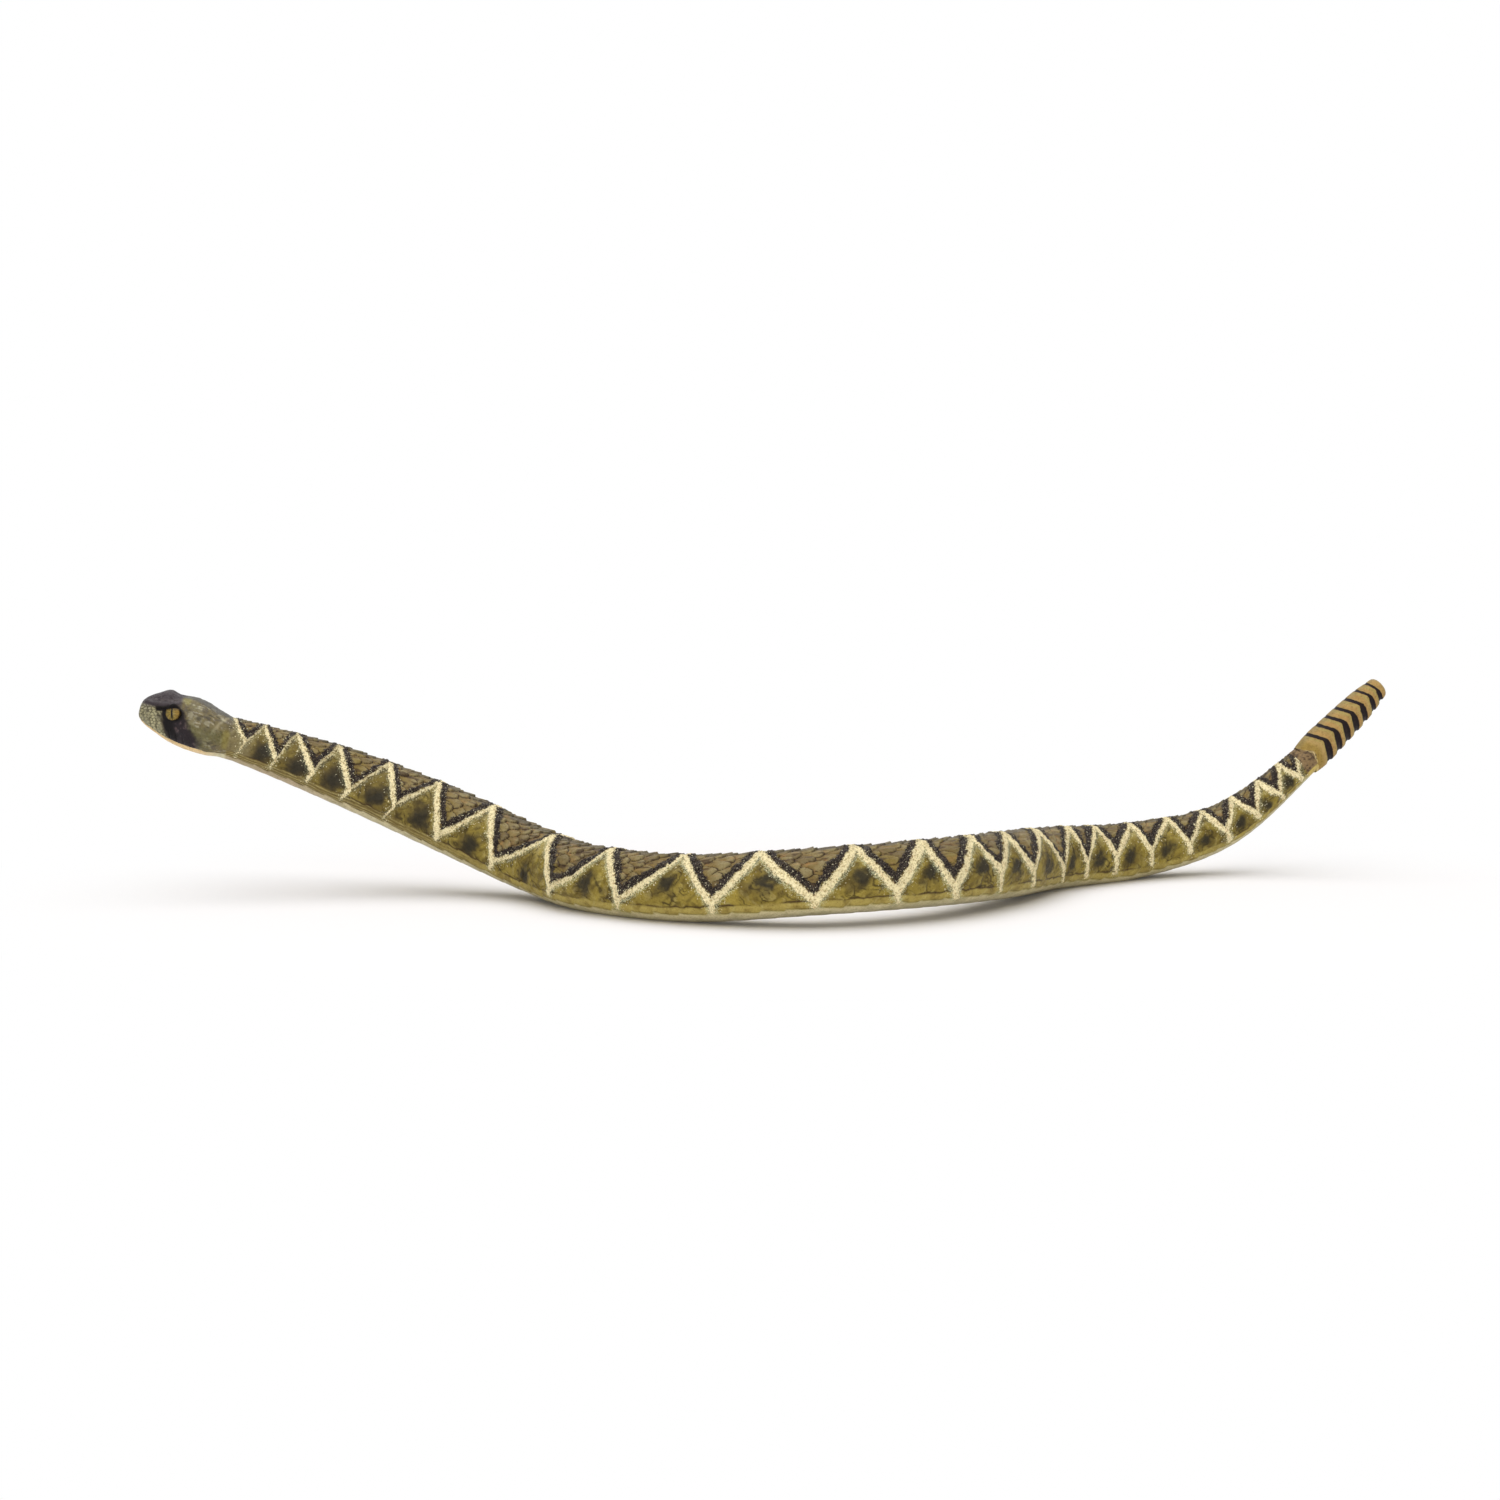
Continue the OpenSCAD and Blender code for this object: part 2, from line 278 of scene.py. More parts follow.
# The snout closes over a short rounded end
closing = np.radians(np.linspace(86, 8, 9))
cap_u = HEAD_LENGTH + CLOSE_DEPTH * np.sin(closing)
all_u = np.r_[cap_u, head_u, -body_along]
first_body = len(cap_u) + len(head_u)
head_like = smooth(all_u, -3, 4)
in_cap = (np.arange(len(all_u)) < len(cap_u))[:, None]

centre = np.concatenate([station(0)[:3] + HEAD_DIR * all_u[:first_body, None], body_centres[:, :3]])
nape_way = np.broadcast_to(body_ways[0], (first_body, 3))
head_ways = unit(mixed(nape_way, -HEAD_DIR, smooth(all_u[:first_body], 0, 4)))
way = np.concatenate([head_ways, body_ways])
side = side_of(way)
up = np.cross(way, side)
radius = np.r_[np.full(first_body, station(0)[3] / 2), body_radius]


def head_row(column):
    """One column of the head's outline at every ring, rounded between its rows."""
    drawn = np.interp(all_u, HEAD[:, 0], HEAD[:, column])
    window = np.hanning(9)
    padded = np.r_[np.full(4, drawn[0]), drawn, np.full(4, drawn[-1])]
    rounded = np.convolve(padded, window / window.sum(), "valid")
    return between(rounded, drawn, smooth(all_u, 26, 27.5))


# Outline of each ring, as columns that meet the values around the ring
scale = np.r_[np.cos(closing), np.ones(len(head_u) + len(body_along))][:, None]
crown = between(radius, head_row(1), head_like)[:, None]
chin = between(-radius, head_row(3), head_like)[:, None]
mouth = head_row(2)[:, None]
half_width = between(radius * WIDTH_SHARE, head_row(4), head_like)[:, None]
square = between(1, HEAD_SQUARE, head_like)[:, None]
middle = (crown + chin) / 2
half_height = (crown - chin) / 2

# The seam column follows the mouth line on the head and the flank seam on the body
dip = np.degrees(np.arcsin(np.clip((middle - mouth) / half_height, 0, 0.98) ** (1 / HEAD_SQUARE)))
seam = between(SEAM_ANGLE, 90 + dip, smooth(all_u, -5, 6)[:, None])

# turn is 0 on the middle of the back, positive on the viewer's side and 180 under the belly
column = np.arange(COLUMNS)
back_share = 1 - 2 * column / BACK_COLUMNS
belly_share = (column - BACK_COLUMNS) / BELLY_COLUMNS
turn = np.where(column <= BACK_COLUMNS, seam * back_share, -seam - belly_share * (360 - 2 * seam))
turn = np.where(turn < -180, turn + 360, turn)
angle = np.radians(turn)
drop = np.abs(turn)
left = turn > 0


def power(value, exponent):
    return np.sign(value) * np.abs(value) ** exponent


out = -half_width * power(np.sin(angle), square) * scale
rise = middle + half_height * power(np.cos(angle), square)
level = np.where(in_cap, middle, 0)
rise = level + (rise - level) * scale
base = centre[:, None] + side[:, None] * out[..., None] + up[:, None] * rise[..., None]


def grid_normals(points):
    """Normals of a grid whose rows are rings."""
    along_ring = np.roll(points, -1, axis=1) - np.roll(points, 1, axis=1)
    along_axis = np.gradient(points, axis=0)
    return unit(np.cross(along_ring, along_axis) + 1e-9)


normal = grid_normals(base)
facing = -1 if np.sum((base - centre[:, None]) * normal) < 0 else 1
normal = normal * facing

# At every point: distance from the nape towards the tail (s) and the snout (u), radius (r), size against the
# fullest body, and distance from the middle of the back (y)
s = -all_u[:, None] + 0 * turn
u = all_u[:, None] + 0 * turn
r = radius[:, None] + 0 * turn
size = r / 9
y = r * np.radians(drop)
on_head = smooth(u, 0.5, 4)

wobble = lumps(base, 4.0, 1)
ripple = lumps(base, 1.6, 2)
fine = lumps(base, 0.7, 3)
grit = lumps(base, 0.42, 4)

# Zigzag
row_s = -all_u
ws = s + 0.35 * ripple * size
wy = y + 0.3 * wobble * size
valley_s, valley_angle, valley_drip = np.array(VALLEYS, float).T


def along_body(position, values):
    return np.interp(position, body_along, values)


def zigzag(valleys, slant):
    """Distance to the middle of the cream line, positive on its back side, and 1 where it climbs tailward.

    slant is the course's sideways slope at each corner; the arms sway by it, so that they look straight from
    the side.
    """
    at = np.zeros(2 * len(valleys) + 1)
    turned = np.zeros(len(at))
    at[::2], at[1::2] = PEAKS, valleys
    turned[::2] = PEAK_ANGLE + 3 * (2 * hashed(11, np.arange(len(PEAKS))) - 1)
    turned[1::2] = valley_angle
    turned = np.radians(turned)
    radii = along_body(at, body_radius)
    share = np.linspace(0, 1, ARM_PIECES + 1)
    nearest = np.full(ws.shape, FAR)
    climbing = np.zeros(ws.shape)
    on_flank = (row_s < at[0])[:, None] & (wy > radii[0] * turned[0])
    on_flank = on_flank | ((row_s > at[-1])[:, None] & (wy > radii[-1] * turned[-1]))
    for i in range(len(at) - 1):
        seen_straight = np.arccos(between(math.cos(turned[i]), math.cos(turned[i + 1]), share))
        arm_turn = between(between(turned[i], turned[i + 1], share), seen_straight, STRAIGHTNESS)
        sway = np.sin(arm_turn) - between(math.sin(turned[i]), math.sin(turned[i + 1]), share)
        arm_r = between(radii[i], radii[i + 1], share)
        arm_s = between(at[i], at[i + 1], share)
        arm_s = arm_s - STRAIGHTNESS * WIDTH_SHARE * arm_r * between(slant[i], slant[i + 1], share) * sway
        arm_y = arm_r * arm_turn
        here = slice(*np.searchsorted(row_s, (arm_s.min() - ARM_REACH, arm_s.max() + ARM_REACH)))
        ps, py = ws[here], wy[here]
        for j in range(ARM_PIECES):
            ds, dy = arm_s[j + 1] - arm_s[j], arm_y[j + 1] - arm_y[j]
            part = np.clip(((ps - arm_s[j]) * ds + (py - arm_y[j]) * dy) / (ds * ds + dy * dy), 0, 1)
            distance = np.hypot(ps - arm_s[j] - part * ds, py - arm_y[j] - part * dy)
            climbing[here] = np.where(distance < nearest[here], i % 2, climbing[here])
            nearest[here] = np.minimum(nearest[here], distance)
            if abs(ds) > 1e-6:
                crosses = (arm_s[j] > ps) != (arm_s[j + 1] > ps)
                on_flank[here] ^= crosses & (py > arm_y[j] + (ps - arm_s[j]) / ds * dy)
    return np.where(on_flank, -nearest, nearest), climbing


# On the far side the valleys stand midway between the peaks, a little unevenly
far_jitter = 1.2 * (2 * hashed(21, np.arange(len(VALLEYS))) - 1)
far_valleys = (np.array(PEAKS[:-1]) + np.array(PEAKS[1:])) / 2 + far_jitter
corners = np.zeros(2 * len(VALLEYS) + 1)
corners[::2], corners[1::2] = PEAKS, valley_s
near_slant = along_body(corners, body_ways[:, 1] / body_ways[:, 0])
far_slant = 0 * near_slant
near_line, near_climb = zigzag(valley_s, near_slant)
far_line, far_climb = zigzag(far_valleys, far_slant)
line = np.where(left, near_line, far_line)
line = np.where(s < LINE_START, np.minimum(line, (s - LINE_START) * 2), line)
climb = np.where(left, near_climb, far_climb)
cream_half = np.interp(s, *CREAM_HALF) * between(1, np.interp(s, *CLIMBING_SHARE), climb)
cream_half = cream_half * (1 + 0.36 * lumps(base, 6.0, 9) + 0.15 * ripple)
dark_width = np.interp(s, *DARK_WIDTH) * (1 + 0.3 * lumps(base, 3.5, 10))

# Cream runs down a little below each valley
drips = np.full(s.shape, FAR)
for valleys, slant, on_side in ((valley_s, near_slant[1::2], left), (far_valleys, far_slant[1::2], ~left)):
    for at, turned, length, lean in zip(valleys, np.radians(valley_angle), valley_drip, slant):
        r_at = along_body(at, body_radius)
        below = np.clip(wy - r_at * turned, 0, length)
        sway = lean * WIDTH_SHARE * r_at * (np.sin(turned + below / r_at) - math.sin(turned))
        sway = sway + np.interp(at, *DRIP_LEAN) * below
        narrowing = np.interp(at, *DRIP_TAPER) * below - np.interp(at, *DRIP_WIDER)
        distance = np.hypot(ws - at + sway, wy - r_at * turned - below) + narrowing
        drips = np.where(on_side, np.minimum(drips, distance), drips)

# cream and dark are negative inside their strokes, and dorsal is 1 on the back's side of the line
cream = np.minimum(np.abs(line), drips) - cream_half
dark = np.maximum(cream_half - line, line - cream_half - dark_width)
dorsal = smooth(line, -0.3, 0.8)

# Soft dark blotch inside each inverted V
blotch = np.zeros(s.shape)
for valleys, on_side in ((valley_s, left), (far_valleys, ~left)):
    for before, after in zip(valleys[:-1], valleys[1:]):
        at = between(before, after, np.interp(before, *BLOTCH_SHARE))
        place = along_body(at, body_radius) * math.radians(np.interp(at, *BLOTCH_ANGLE))
        along_part = (ws - at - 0.9 * ripple + 0.3 * (wy - place)) / np.interp(at, *BLOTCH_LONG)
        across_part = (wy - place + 0.9 * wobble) / np.interp(at, *BLOTCH_TALL)
        hill = np.exp(-along_part ** 2 - across_part ** 2)
        blotch = np.where(on_side, np.maximum(blotch, hill), blotch)


# Relief of the skin
def scale_leaves(along, across, lean, seed):
    """Relief of scales that overlap towards the tail, the groove behind their tips, the part along each
    scale, and a number of its own for each scale."""
    height = np.zeros(along.shape)
    part = np.zeros(along.shape)
    owner = np.zeros(along.shape)
    leaves = []
    for next_row in (-1, 0, 1):
        j = np.round(across) + next_row
        shifted = along - 0.5 * (j % 2)
        for step in (-1, 0):
            n = np.floor(shifted) + step
            at = shifted - n + 0.24 * (hashed(seed, j, n) - 0.5)
            off = across - j + 0.3 * (hashed(seed + 1, j, n) - 0.5) + lean * (at - LEAF_MIDDLE)
            inside = 1 - ((at - LEAF_MIDDLE) / LEAF_HALF_LONG) ** 2 - (off / LEAF_HALF_WIDE) ** 2
            tall = (0.2 + 0.6 * at) * (0.88 + 0.24 * hashed(seed + 2, j, n))
            leaf = tall * (1 - 0.3 * off ** 2) + 0.14 * at * bump(off, 0, 0.14)
            on_top = (inside > 0) & (leaf > height)
            height = np.where(on_top, leaf, height)
            part = np.where(on_top, at, part)
            owner = np.where(on_top, hashed(seed + 3, j, n), owner)
            leaves.append((inside, at, tall))
    # Grooves are fainter towards one side, measured from the middle of the last row of scales
    one_side = between(0.45, 1.0, smooth(off, -0.3, 0.3))
    groove = np.zeros(along.shape)
    for inside, at, tall in leaves:
        under = smooth(tall - height, 0.0, 0.12) * smooth(at, 0.55, 0.95) * one_side
        groove = np.maximum(groove, np.where(inside < 0, bump(inside, -0.05, 0.13), 0) * under)
    return height, groove, part, owner


def cells(along, across, seed):
    """Distances to the middle and the border of uneven cells, counted in cells, and each cell's number."""
    nearest = np.full(along.shape, 9.0)
    second = np.full(along.shape, 9.0)
    owner = np.zeros(along.shape)
    row = np.round(across)
    for dj in (-1, 0, 1):
        j = row + dj
        shifted = along - 0.5 * (j % 2)
        for di in (-1, 0, 1):
            i = np.round(shifted) + di
            da = shifted - i - 0.4 * (hashed(seed, i, j) - 0.5)
            db = across - j - 0.4 * (hashed(seed + 1, i, j) - 0.5)
            distance = np.hypot(da, db)
            closer = distance < nearest
            second = np.where(closer, nearest, np.minimum(second, distance))
            owner = np.where(closer, hashed(seed + 2, i, j), owner)
            nearest = np.where(closer, distance, nearest)
    return nearest, second - nearest, owner


# counted is the number of scales from the snout
counted = np.cumsum(np.r_[0, np.abs(np.diff(all_u))] / (PITCH_SHARE * radius))[:, None] + 0 * turn
keel_height, keel_groove, keel_part, keel_owner = scale_leaves(
    counted + 0.2 * wobble + 0.05 * ripple, drop / ROW_ANGLE + 0.22 * wobble + 0.08 * ripple, 0.25, 41)
flank_height, flank_groove, flank_part, flank_owner = scale_leaves(
    counted * 0.9 + 0.35 * wobble, drop / FLANK_ROW_ANGLE + 0.3 * wobble + 0.1 * ripple, 0.5, 51)
broken = smooth(lumps(base, 3.0, 5) + 0.5 * ripple, -0.3, 0.5)

# Ends of the belly scutes on the lower flank: shallow scallops with a pale rim
scute = counted * 0.82 + 0.012 * (drop - SEAM_ANGLE) + 0.12 * wobble
scute_part = scute - np.floor(scute)
scallop = SEAM_ANGLE + np.interp(s, [60, 110], [20, 17]) - 4 * (1 - scute_part) ** 2 + 1.5 * ripple
scute_height = smooth(scute_part, 0, 0.9) * fade(scute_part, 0.93, 1)
belly = smooth(drop, seam + 2, seam + 8)
seam_line = bump(drop, seam, 1.6)

skin = dorsal * 0.95 * size * (keel_height - 0.72 - 0.3 * keel_groove)
skin = skin + (1 - dorsal) * (1 - belly) * 0.5 * size * (flank_height - 0.75 - 0.25 * flank_groove * broken)
skin = skin + belly * 0.1 * size * (scute_height - 0.6)
skin = skin + 0.16 * size * smooth(scallop - drop, -1.5, 1.5) * belly
skin = skin - 0.16 * seam_line * size * (1 - on_head) * smooth(wobble, -0.5, 0.3)
# Thick paint fills the scales
in_cream = fade(cream, -0.2, 0.25)
in_dark = fade(dark, -0.2, 0.25)
skin = skin * (1 - 0.55 * in_cream) + in_cream * (0.26 + 0.22 * grit + 0.08 * fine) * np.sqrt(size)
skin = skin + in_dark * (0.1 + 0.24 * grit) * np.sqrt(size)
skin = skin * (1 - on_head)


# Relief of the head
def spot(place, long_half, high_half):
    """A small round mark on the side of the head."""
    return bump(np.hypot((u - place[0]) / long_half, (rise - place[1]) / high_half), 0, 0.8) * on_side


on_side = smooth(drop, 20, 35) * fade(drop, 125, 140)
ax = np.abs(out)
eye_x = (u - EYE_U) * math.cos(EYE_TILT) - (rise - EYE_V) * math.sin(EYE_TILT)
eye_y = (u - EYE_U) * math.sin(EYE_TILT) + (rise - EYE_V) * math.cos(EYE_TILT)
eye_edge = np.where(on_side > 0.5, np.hypot(eye_x / EYE_HALF_LONG, eye_y / EYE_HALF_HIGH), 9)
brow_reach = smooth(u, 14, 16.5) * fade(u, 25.5, 27.2)
above_brow = rise - np.interp(u, *BROW_LINE)
brow_side = smooth(drop, 25, 40) * fade(drop, 105, 115)
ridge = brow_side * brow_reach * (0.75 * bump(above_brow, 0.35, 0.75) - 0.5 * bump(above_brow, -0.75, 0.5))
ball_reach = EYE_R ** 2 - (u - EYE_U) ** 2 - (rise - EYE_V) ** 2
ball_front = EYE_OUT + np.sqrt(np.clip(ball_reach, 0, None))
lid = 0.12 * bump(eye_edge, 1.2, 0.16)
lid_open = np.where(eye_y > BROW_CUT, 9, eye_edge)
cover = smooth(lid_open, 0.96, 1.1) * (ball_reach > 0) * np.clip(ball_front + 0.12 - ax, 0, None)
socket = smooth(-eye_edge, -1.08, -0.93) * fade(eye_y, BROW_CUT - 0.1, BROW_CUT + 0.15)
socket = socket * (ax - np.minimum(ax, ball_front - 0.25))
overhang = bump(eye_y, BROW_CUT + 0.55, 0.45) * bump(eye_x, 0, 3.0) * (eye_y > 0)
head_near, head_border, head_owner = cells(u / 1.7 + 0.1 * wobble, turn / 13 + 0.1 * ripple, 61)
pebble = 0.4 - head_near ** 2
plate_border = cells(u / 4.2, turn / 34 + 0.2, 71)[1]
plates = smooth(u, 14, 17) * fade(drop, 45, 60)
lip_zone = smooth(u, 9, 12) * fade(u, 27, 27.8) * smooth(rise, mouth - 0.1, mouth + 0.3)
lip_zone = lip_zone * fade(rise, mouth + 2.6, mouth + 3.4) * on_side
lip_part = (u - 0.35 * (rise - mouth)) / 2.1
lip_groove = bump(lip_part - np.round(lip_part), 0, 0.09)
pit = spot(PIT, 1.0, 0.75)
nostril = spot(NOSTRIL, 0.8, 0.6)
mouth_gap = bump(drop - seam, 0.6, 2.2) * smooth(u, 6, 9)

face = 0.22 * (1 - plates) * (1 - lip_zone) * pebble
face = face - 0.12 * plates * fade(plate_border, 0.02, 0.12)
face = face * fade(-eye_edge, -1.7, -1.3)
face = face + lip_zone * (0.12 - 0.3 * lip_groove)
face = face + ridge + 0.35 * overhang * on_side + lid * on_side + cover * on_side
face = face - 0.55 * pit - 0.4 * nostril - 0.3 * mouth_gap
# Hollow along the crown, crease at the nape, and groove under the chin
face = face - 0.45 * bump(out, 0, 1.7) * smooth(u, 14, 17) * fade(u, 22.5, 25) * (drop < 90)
face = face - 0.3 * bump(u, 1.8, 1.0) * (drop < 125)
chin_face = 0.06 * pebble - 0.2 * bump(out, 0, 0.35) * smooth(u, 9, 12)
face = between(face, chin_face, smooth(drop, seam + 2, seam + 12))
skin = skin + on_head * face * smooth(-u, -28.2, -26.5) - on_head * socket * on_side
skin = skin * np.where(s > body_end - 0.9, 0.2, 1)

points = base + normal * skin[..., None]
points[..., 2] = np.maximum(points[..., 2], 0)
normal = grid_normals(points) * facing

# Painted tones, as display values from 0 to 255: the back
BACK_BROWN = (124, 104, 60)
BACK_SHEEN_GREY = (144, 132, 94)
BACK_OLIVE = (126, 108, 52)
BACK_SHADE = (96, 82, 58)
BACK_TOP_SHADE = (66, 66, 64)
RECESS_SHADE = (44, 30, 22)
RUST = (176, 116, 58)
FLICK_DARK = (58, 42, 30)
FLICK_LIGHT = (156, 122, 76)
rusty = smooth(ripple + 0.6 * fine + 0.8 * (keel_owner - 0.5), 0.45, 0.8)
flicks = stretched_lumps(s / 3.2, y / 0.75, 0 * s, 35) + 0.25 * fine
back = coats(
    BACK_BROWN,
    # Painted sheen: the raised rear of each back scale turns greyer
    (BACK_SHEEN_GREY, smooth(keel_part + 0.4 * ripple, 0.5, 1.2) * 0.8),
    (BACK_OLIVE, 0.7 * smooth(lumps(base, 6.0, 6) + 0.3 * ripple, 0.0, 0.7)),
    (RUST, 0.45 * rusty * fade(keel_part, 0.55, 1.0)),
    (BACK_SHADE, 0.5 * smooth(keel_owner, 0.6, 0.9)),
    # Painted shade in the grooves behind the back scales' tips
    (RECESS_SHADE, 0.95 * smooth(keel_groove + 0.15 * fine, 0.08, 0.38)),
    (FLICK_DARK, 0.6 * smooth(flicks, 0.4, 0.75)),
    (FLICK_LIGHT, 0.45 * smooth(-flicks, 0.45, 0.8)),
    # Painted shade darkens the top of the back along its middle
    (BACK_TOP_SHADE, 0.4 * fade(drop + 5 * ripple, 6, 18)))

# The flank, with swirls, slanting flicks and a shade below the climbing arms
OLIVE = (139, 121, 52)
OLIVE_PALE_AND_HIGHLIGHT = (166, 152, 98)
OLIVE_DULL = (96, 80, 34)
OLIVE_GOLD = (166, 146, 62)
OLIVE_DARK = (58, 46, 20)
NECK_SHADE_OLIVE = (96, 82, 42)
NECK_SMUDGE = (66, 56, 34)
NAPE_GREY = (124, 113, 84)
SWIRL_DARK = (60, 50, 22)
SWIRL_LIGHT = (176, 160, 84)
SLANT_DARK = (84, 70, 30)
SLANT_LIGHT = (168, 150, 74)
BLOTCH_RIM = (104, 88, 40)
BLOTCH = (44, 40, 30)
neck_share = smooth(-s, -95, -40)
swirl_field = lumps(base, 2.4, 31) + 0.35 * ripple
swirls = bump(swirl_field, 0.0, 0.11) + bump(swirl_field, 0.5, 0.08)
swirls = swirls * smooth(lumps(base, 4.0, 32) + 0.9 * blotch, -0.25, 0.35)
slanting = stretched_lumps((s - y) / 3.4, (s + 1.3 * y) / 1.5, 0 * s + left, 36) + 0.25 * ripple
arm_shade = smooth(lumps(base, 3.0, 33) + 0.4 * ripple, -0.2, 0.4)
under_arm = bump(line, -cream_half - 0.35, 0.4) * climb * arm_shade
flank = coats(
    OLIVE,
    # Lighter towards the top of the flank
    (OLIVE_PALE_AND_HIGHLIGHT, smooth(-y / np.maximum(r, 1) + 0.25 * wobble, -1.1, -0.5) * 0.9),
    (OLIVE_DULL, 0.8 * smooth(lumps(base, 3.0, 7) + 0.4 * ripple, 0.0, 0.7)),
    (OLIVE_GOLD, 0.5 * smooth(flank_owner + 0.3 * ripple, 0.6, 1.0) * fade(flank_part, 0.8, 1.2)),
    # Painted highlight on the rear tips of the flank scales
    (OLIVE_PALE_AND_HIGHLIGHT, 0.5 * smooth(flank_part + 0.2 * ripple, 0.95, 1.25)),
    # Painted shade in the grooves between the flank scales
    (OLIVE_DARK, 0.85 * broken * smooth(flank_groove, 0.1, 0.6)),
    # Painted shade darkens the neck
    (NECK_SHADE_OLIVE, 0.55 * neck_share),
    (BLOTCH_RIM, 0.65 * smooth(blotch + 0.25 * wobble, 0.02, 0.35)),
    (SWIRL_LIGHT, 0.45 * bump(swirl_field, 0.17, 0.06) * smooth(lumps(base, 4.0, 34), -0.1, 0.4)),
    (SWIRL_DARK, 0.8 * smooth(swirls, 0.25, 0.85)),
    (SLANT_DARK, 0.55 * smooth(slanting, 0.3, 0.65)),
    (SLANT_LIGHT, 0.4 * smooth(-slanting, 0.35, 0.7)),
    (OLIVE_DARK, 0.7 * under_arm),
    (NECK_SMUDGE, 0.75 * neck_share * smooth(blotch + 0.3 * ripple, 0.0, 0.4)),
    (BLOTCH, 0.88 * smooth(blotch + 0.25 * ripple + 0.2 * fine, 0.15, 0.95)),
    (NAPE_GREY, 0.75 * smooth(-s, -7, -4)))

# The scutes below the seam, with wavy pale lines along the neck, and the belly
SCUTE_OLIVE = (168, 150, 80)
SCUTE_DULL = (124, 106, 52)
SCUTE_EDGE = (182, 170, 112)
SCUTE_NECK_SHADE = (104, 88, 50)
NECK_LINE = (182, 168, 112)
BELLY = (204, 192, 150)
BELLY_UNDER = (186, 176, 144)
BELLY_DULL = (150, 142, 104)
NECK_BELLY = (176, 156, 126)
SEAM_DARK = (62, 46, 24)
scutes = coats(
    SCUTE_OLIVE,
    (SCUTE_DULL, 0.65 * smooth(lumps(base, 2.6, 8) + 0.4 * fine, 0.0, 0.7)),
    (OLIVE_DARK, 0.5 * bump(scallop - drop, 2.2, 0.9)),
    (SCUTE_EDGE, 0.9 * bump(scallop - drop, 0.0, 1.5)),
    (SCUTE_EDGE, 0.5 * bump(scute_part, 0.03, 0.03)),
    # Painted shade darkens the scutes along the neck
    (SCUTE_NECK_SHADE, 0.75 * neck_share))
for below_seam in (2.5, 9.0, 15.0):
    wavy = drop - SEAM_ANGLE - below_seam + 2.4 * wobble + 1.2 * ripple
    scutes = coats(scutes, (NECK_LINE, 0.75 * neck_share * bump(wavy, 0, 1.0)),
                   (OLIVE_DARK, 0.6 * neck_share * bump(wavy, 2.2, 0.9)))
lower = coats(
    BELLY,
    (BELLY_UNDER, smooth(drop, 135, 165)),
    (NECK_BELLY, smooth(-s, -45, -12)),
    (BELLY_DULL, 0.35 * smooth(lumps(base, 5.0, 12) + 0.3 * ripple, 0.0, 0.7)))
seam_shown = smooth(lumps(base, 7.0, 13) + 0.3 * ripple, -0.35, 0.05) * (1 - on_head)
paint = coats(
    flank,
    (back, dorsal),
    (scutes, smooth(drop + 3 * ripple, SEAM_ANGLE - 3, SEAM_ANGLE + 2)),
    (SEAM_DARK, 0.95 * bump(drop + 2 * ripple, SEAM_ANGLE - 1.5, 1.7) * seam_shown),
    (lower, smooth(drop - scallop, 0.6, 2.2)))

# The head: temple, lips, cheek band, crown, and the black around the eye
CROWN_DARK = (60, 53, 56)
CROWN_PALE_AND_HIGHLIGHT = (104, 96, 94)
CROWN_TOP_SHADE = (78, 78, 76)
CROWN_SPOT = (140, 132, 76)
TEMPLE = (116, 105, 74)
TEMPLE_PALE = (160, 156, 134)
TEMPLE_OLIVE = (104, 98, 64)
TEMPLE_BROWN = (92, 84, 74)
TEMPLE_GROOVE_SHADE = (84, 78, 70)
STREAK_PALE = (184, 178, 156)
STREAK_DARK = (66, 62, 50)
SMUDGE = (52, 52, 38)
JAW_OLIVE = (96, 92, 56)
MUSTARD = (136, 124, 64)
NAPE_ARC = (186, 176, 142)
LIP = (172, 165, 128)
LIP_DARK = (84, 80, 62)
LIP_GREY = (160, 155, 140)
LIP_DULL = (132, 128, 104)
EYE_BLACK = (14, 10, 11)
CHEEK_DARK = (40, 33, 36)
CHEEK_ROSE = (100, 84, 84)
CHEEK_BLUE = (40, 46, 46)
JAW = (222, 192, 142)
THROAT = (198, 190, 156)


def stroke(p, q):
    """Distance on the side of the head to the line from p to q, each given as (u, v)."""
    a = np.array(p, float)
    step = np.array(q, float) - a
    share = np.clip(((u - a[0]) * step[0] + (rise - a[1]) * step[1]) / (step @ step), 0, 1)
    return np.hypot(u - a[0] - share * step[0], rise - a[1] - share * step[1]) + 0.35 * ripple


streak = stretched_lumps(u / 3.5, rise / 0.5, out / 0.5, 14)
lip_border = cells(u / 1.1, rise / 0.8 + 0.3 * u, 91)[1]
lip = coats(
    LIP,
    # Painted shade in the grooves between the lip scales
    (LIP_DARK, 0.8 * lip_groove * lip_zone),
    (LIP_GREY, 0.7 * smooth(u, 23.5, 25.5) * smooth(rise, 1.5, 3.0)),
    (LIP_DARK, 0.85 * fade(lip_border + 0.15 * fine, 0.1, 0.4)),
    (LIP_DULL, 0.6 * smooth(ripple + 0.6 * fine, 0.0, 0.7)))
front = smooth(u - 16.6 - 0.8 * (rise + 4.4) + 0.5 * ripple, 0.0, 1.0)
front = np.where(rise > 0.5, np.maximum(front * (u > 18), smooth(u, 20.5, 21.5)), front)
cheek = coats(
    CHEEK_DARK,
    (CHEEK_ROSE, 0.7 * smooth(ripple + 1.0 * fine + 0.5 * grit, 0.25, 1.1)),
    (CHEEK_BLUE, 0.7 * smooth(wobble, 0.2, 0.8)))
crown_zone = smooth(above_brow, -0.5, 0.1) * smooth(u + 0.25 * (8 - rise), 15.9, 17.2) * (drop < 100)
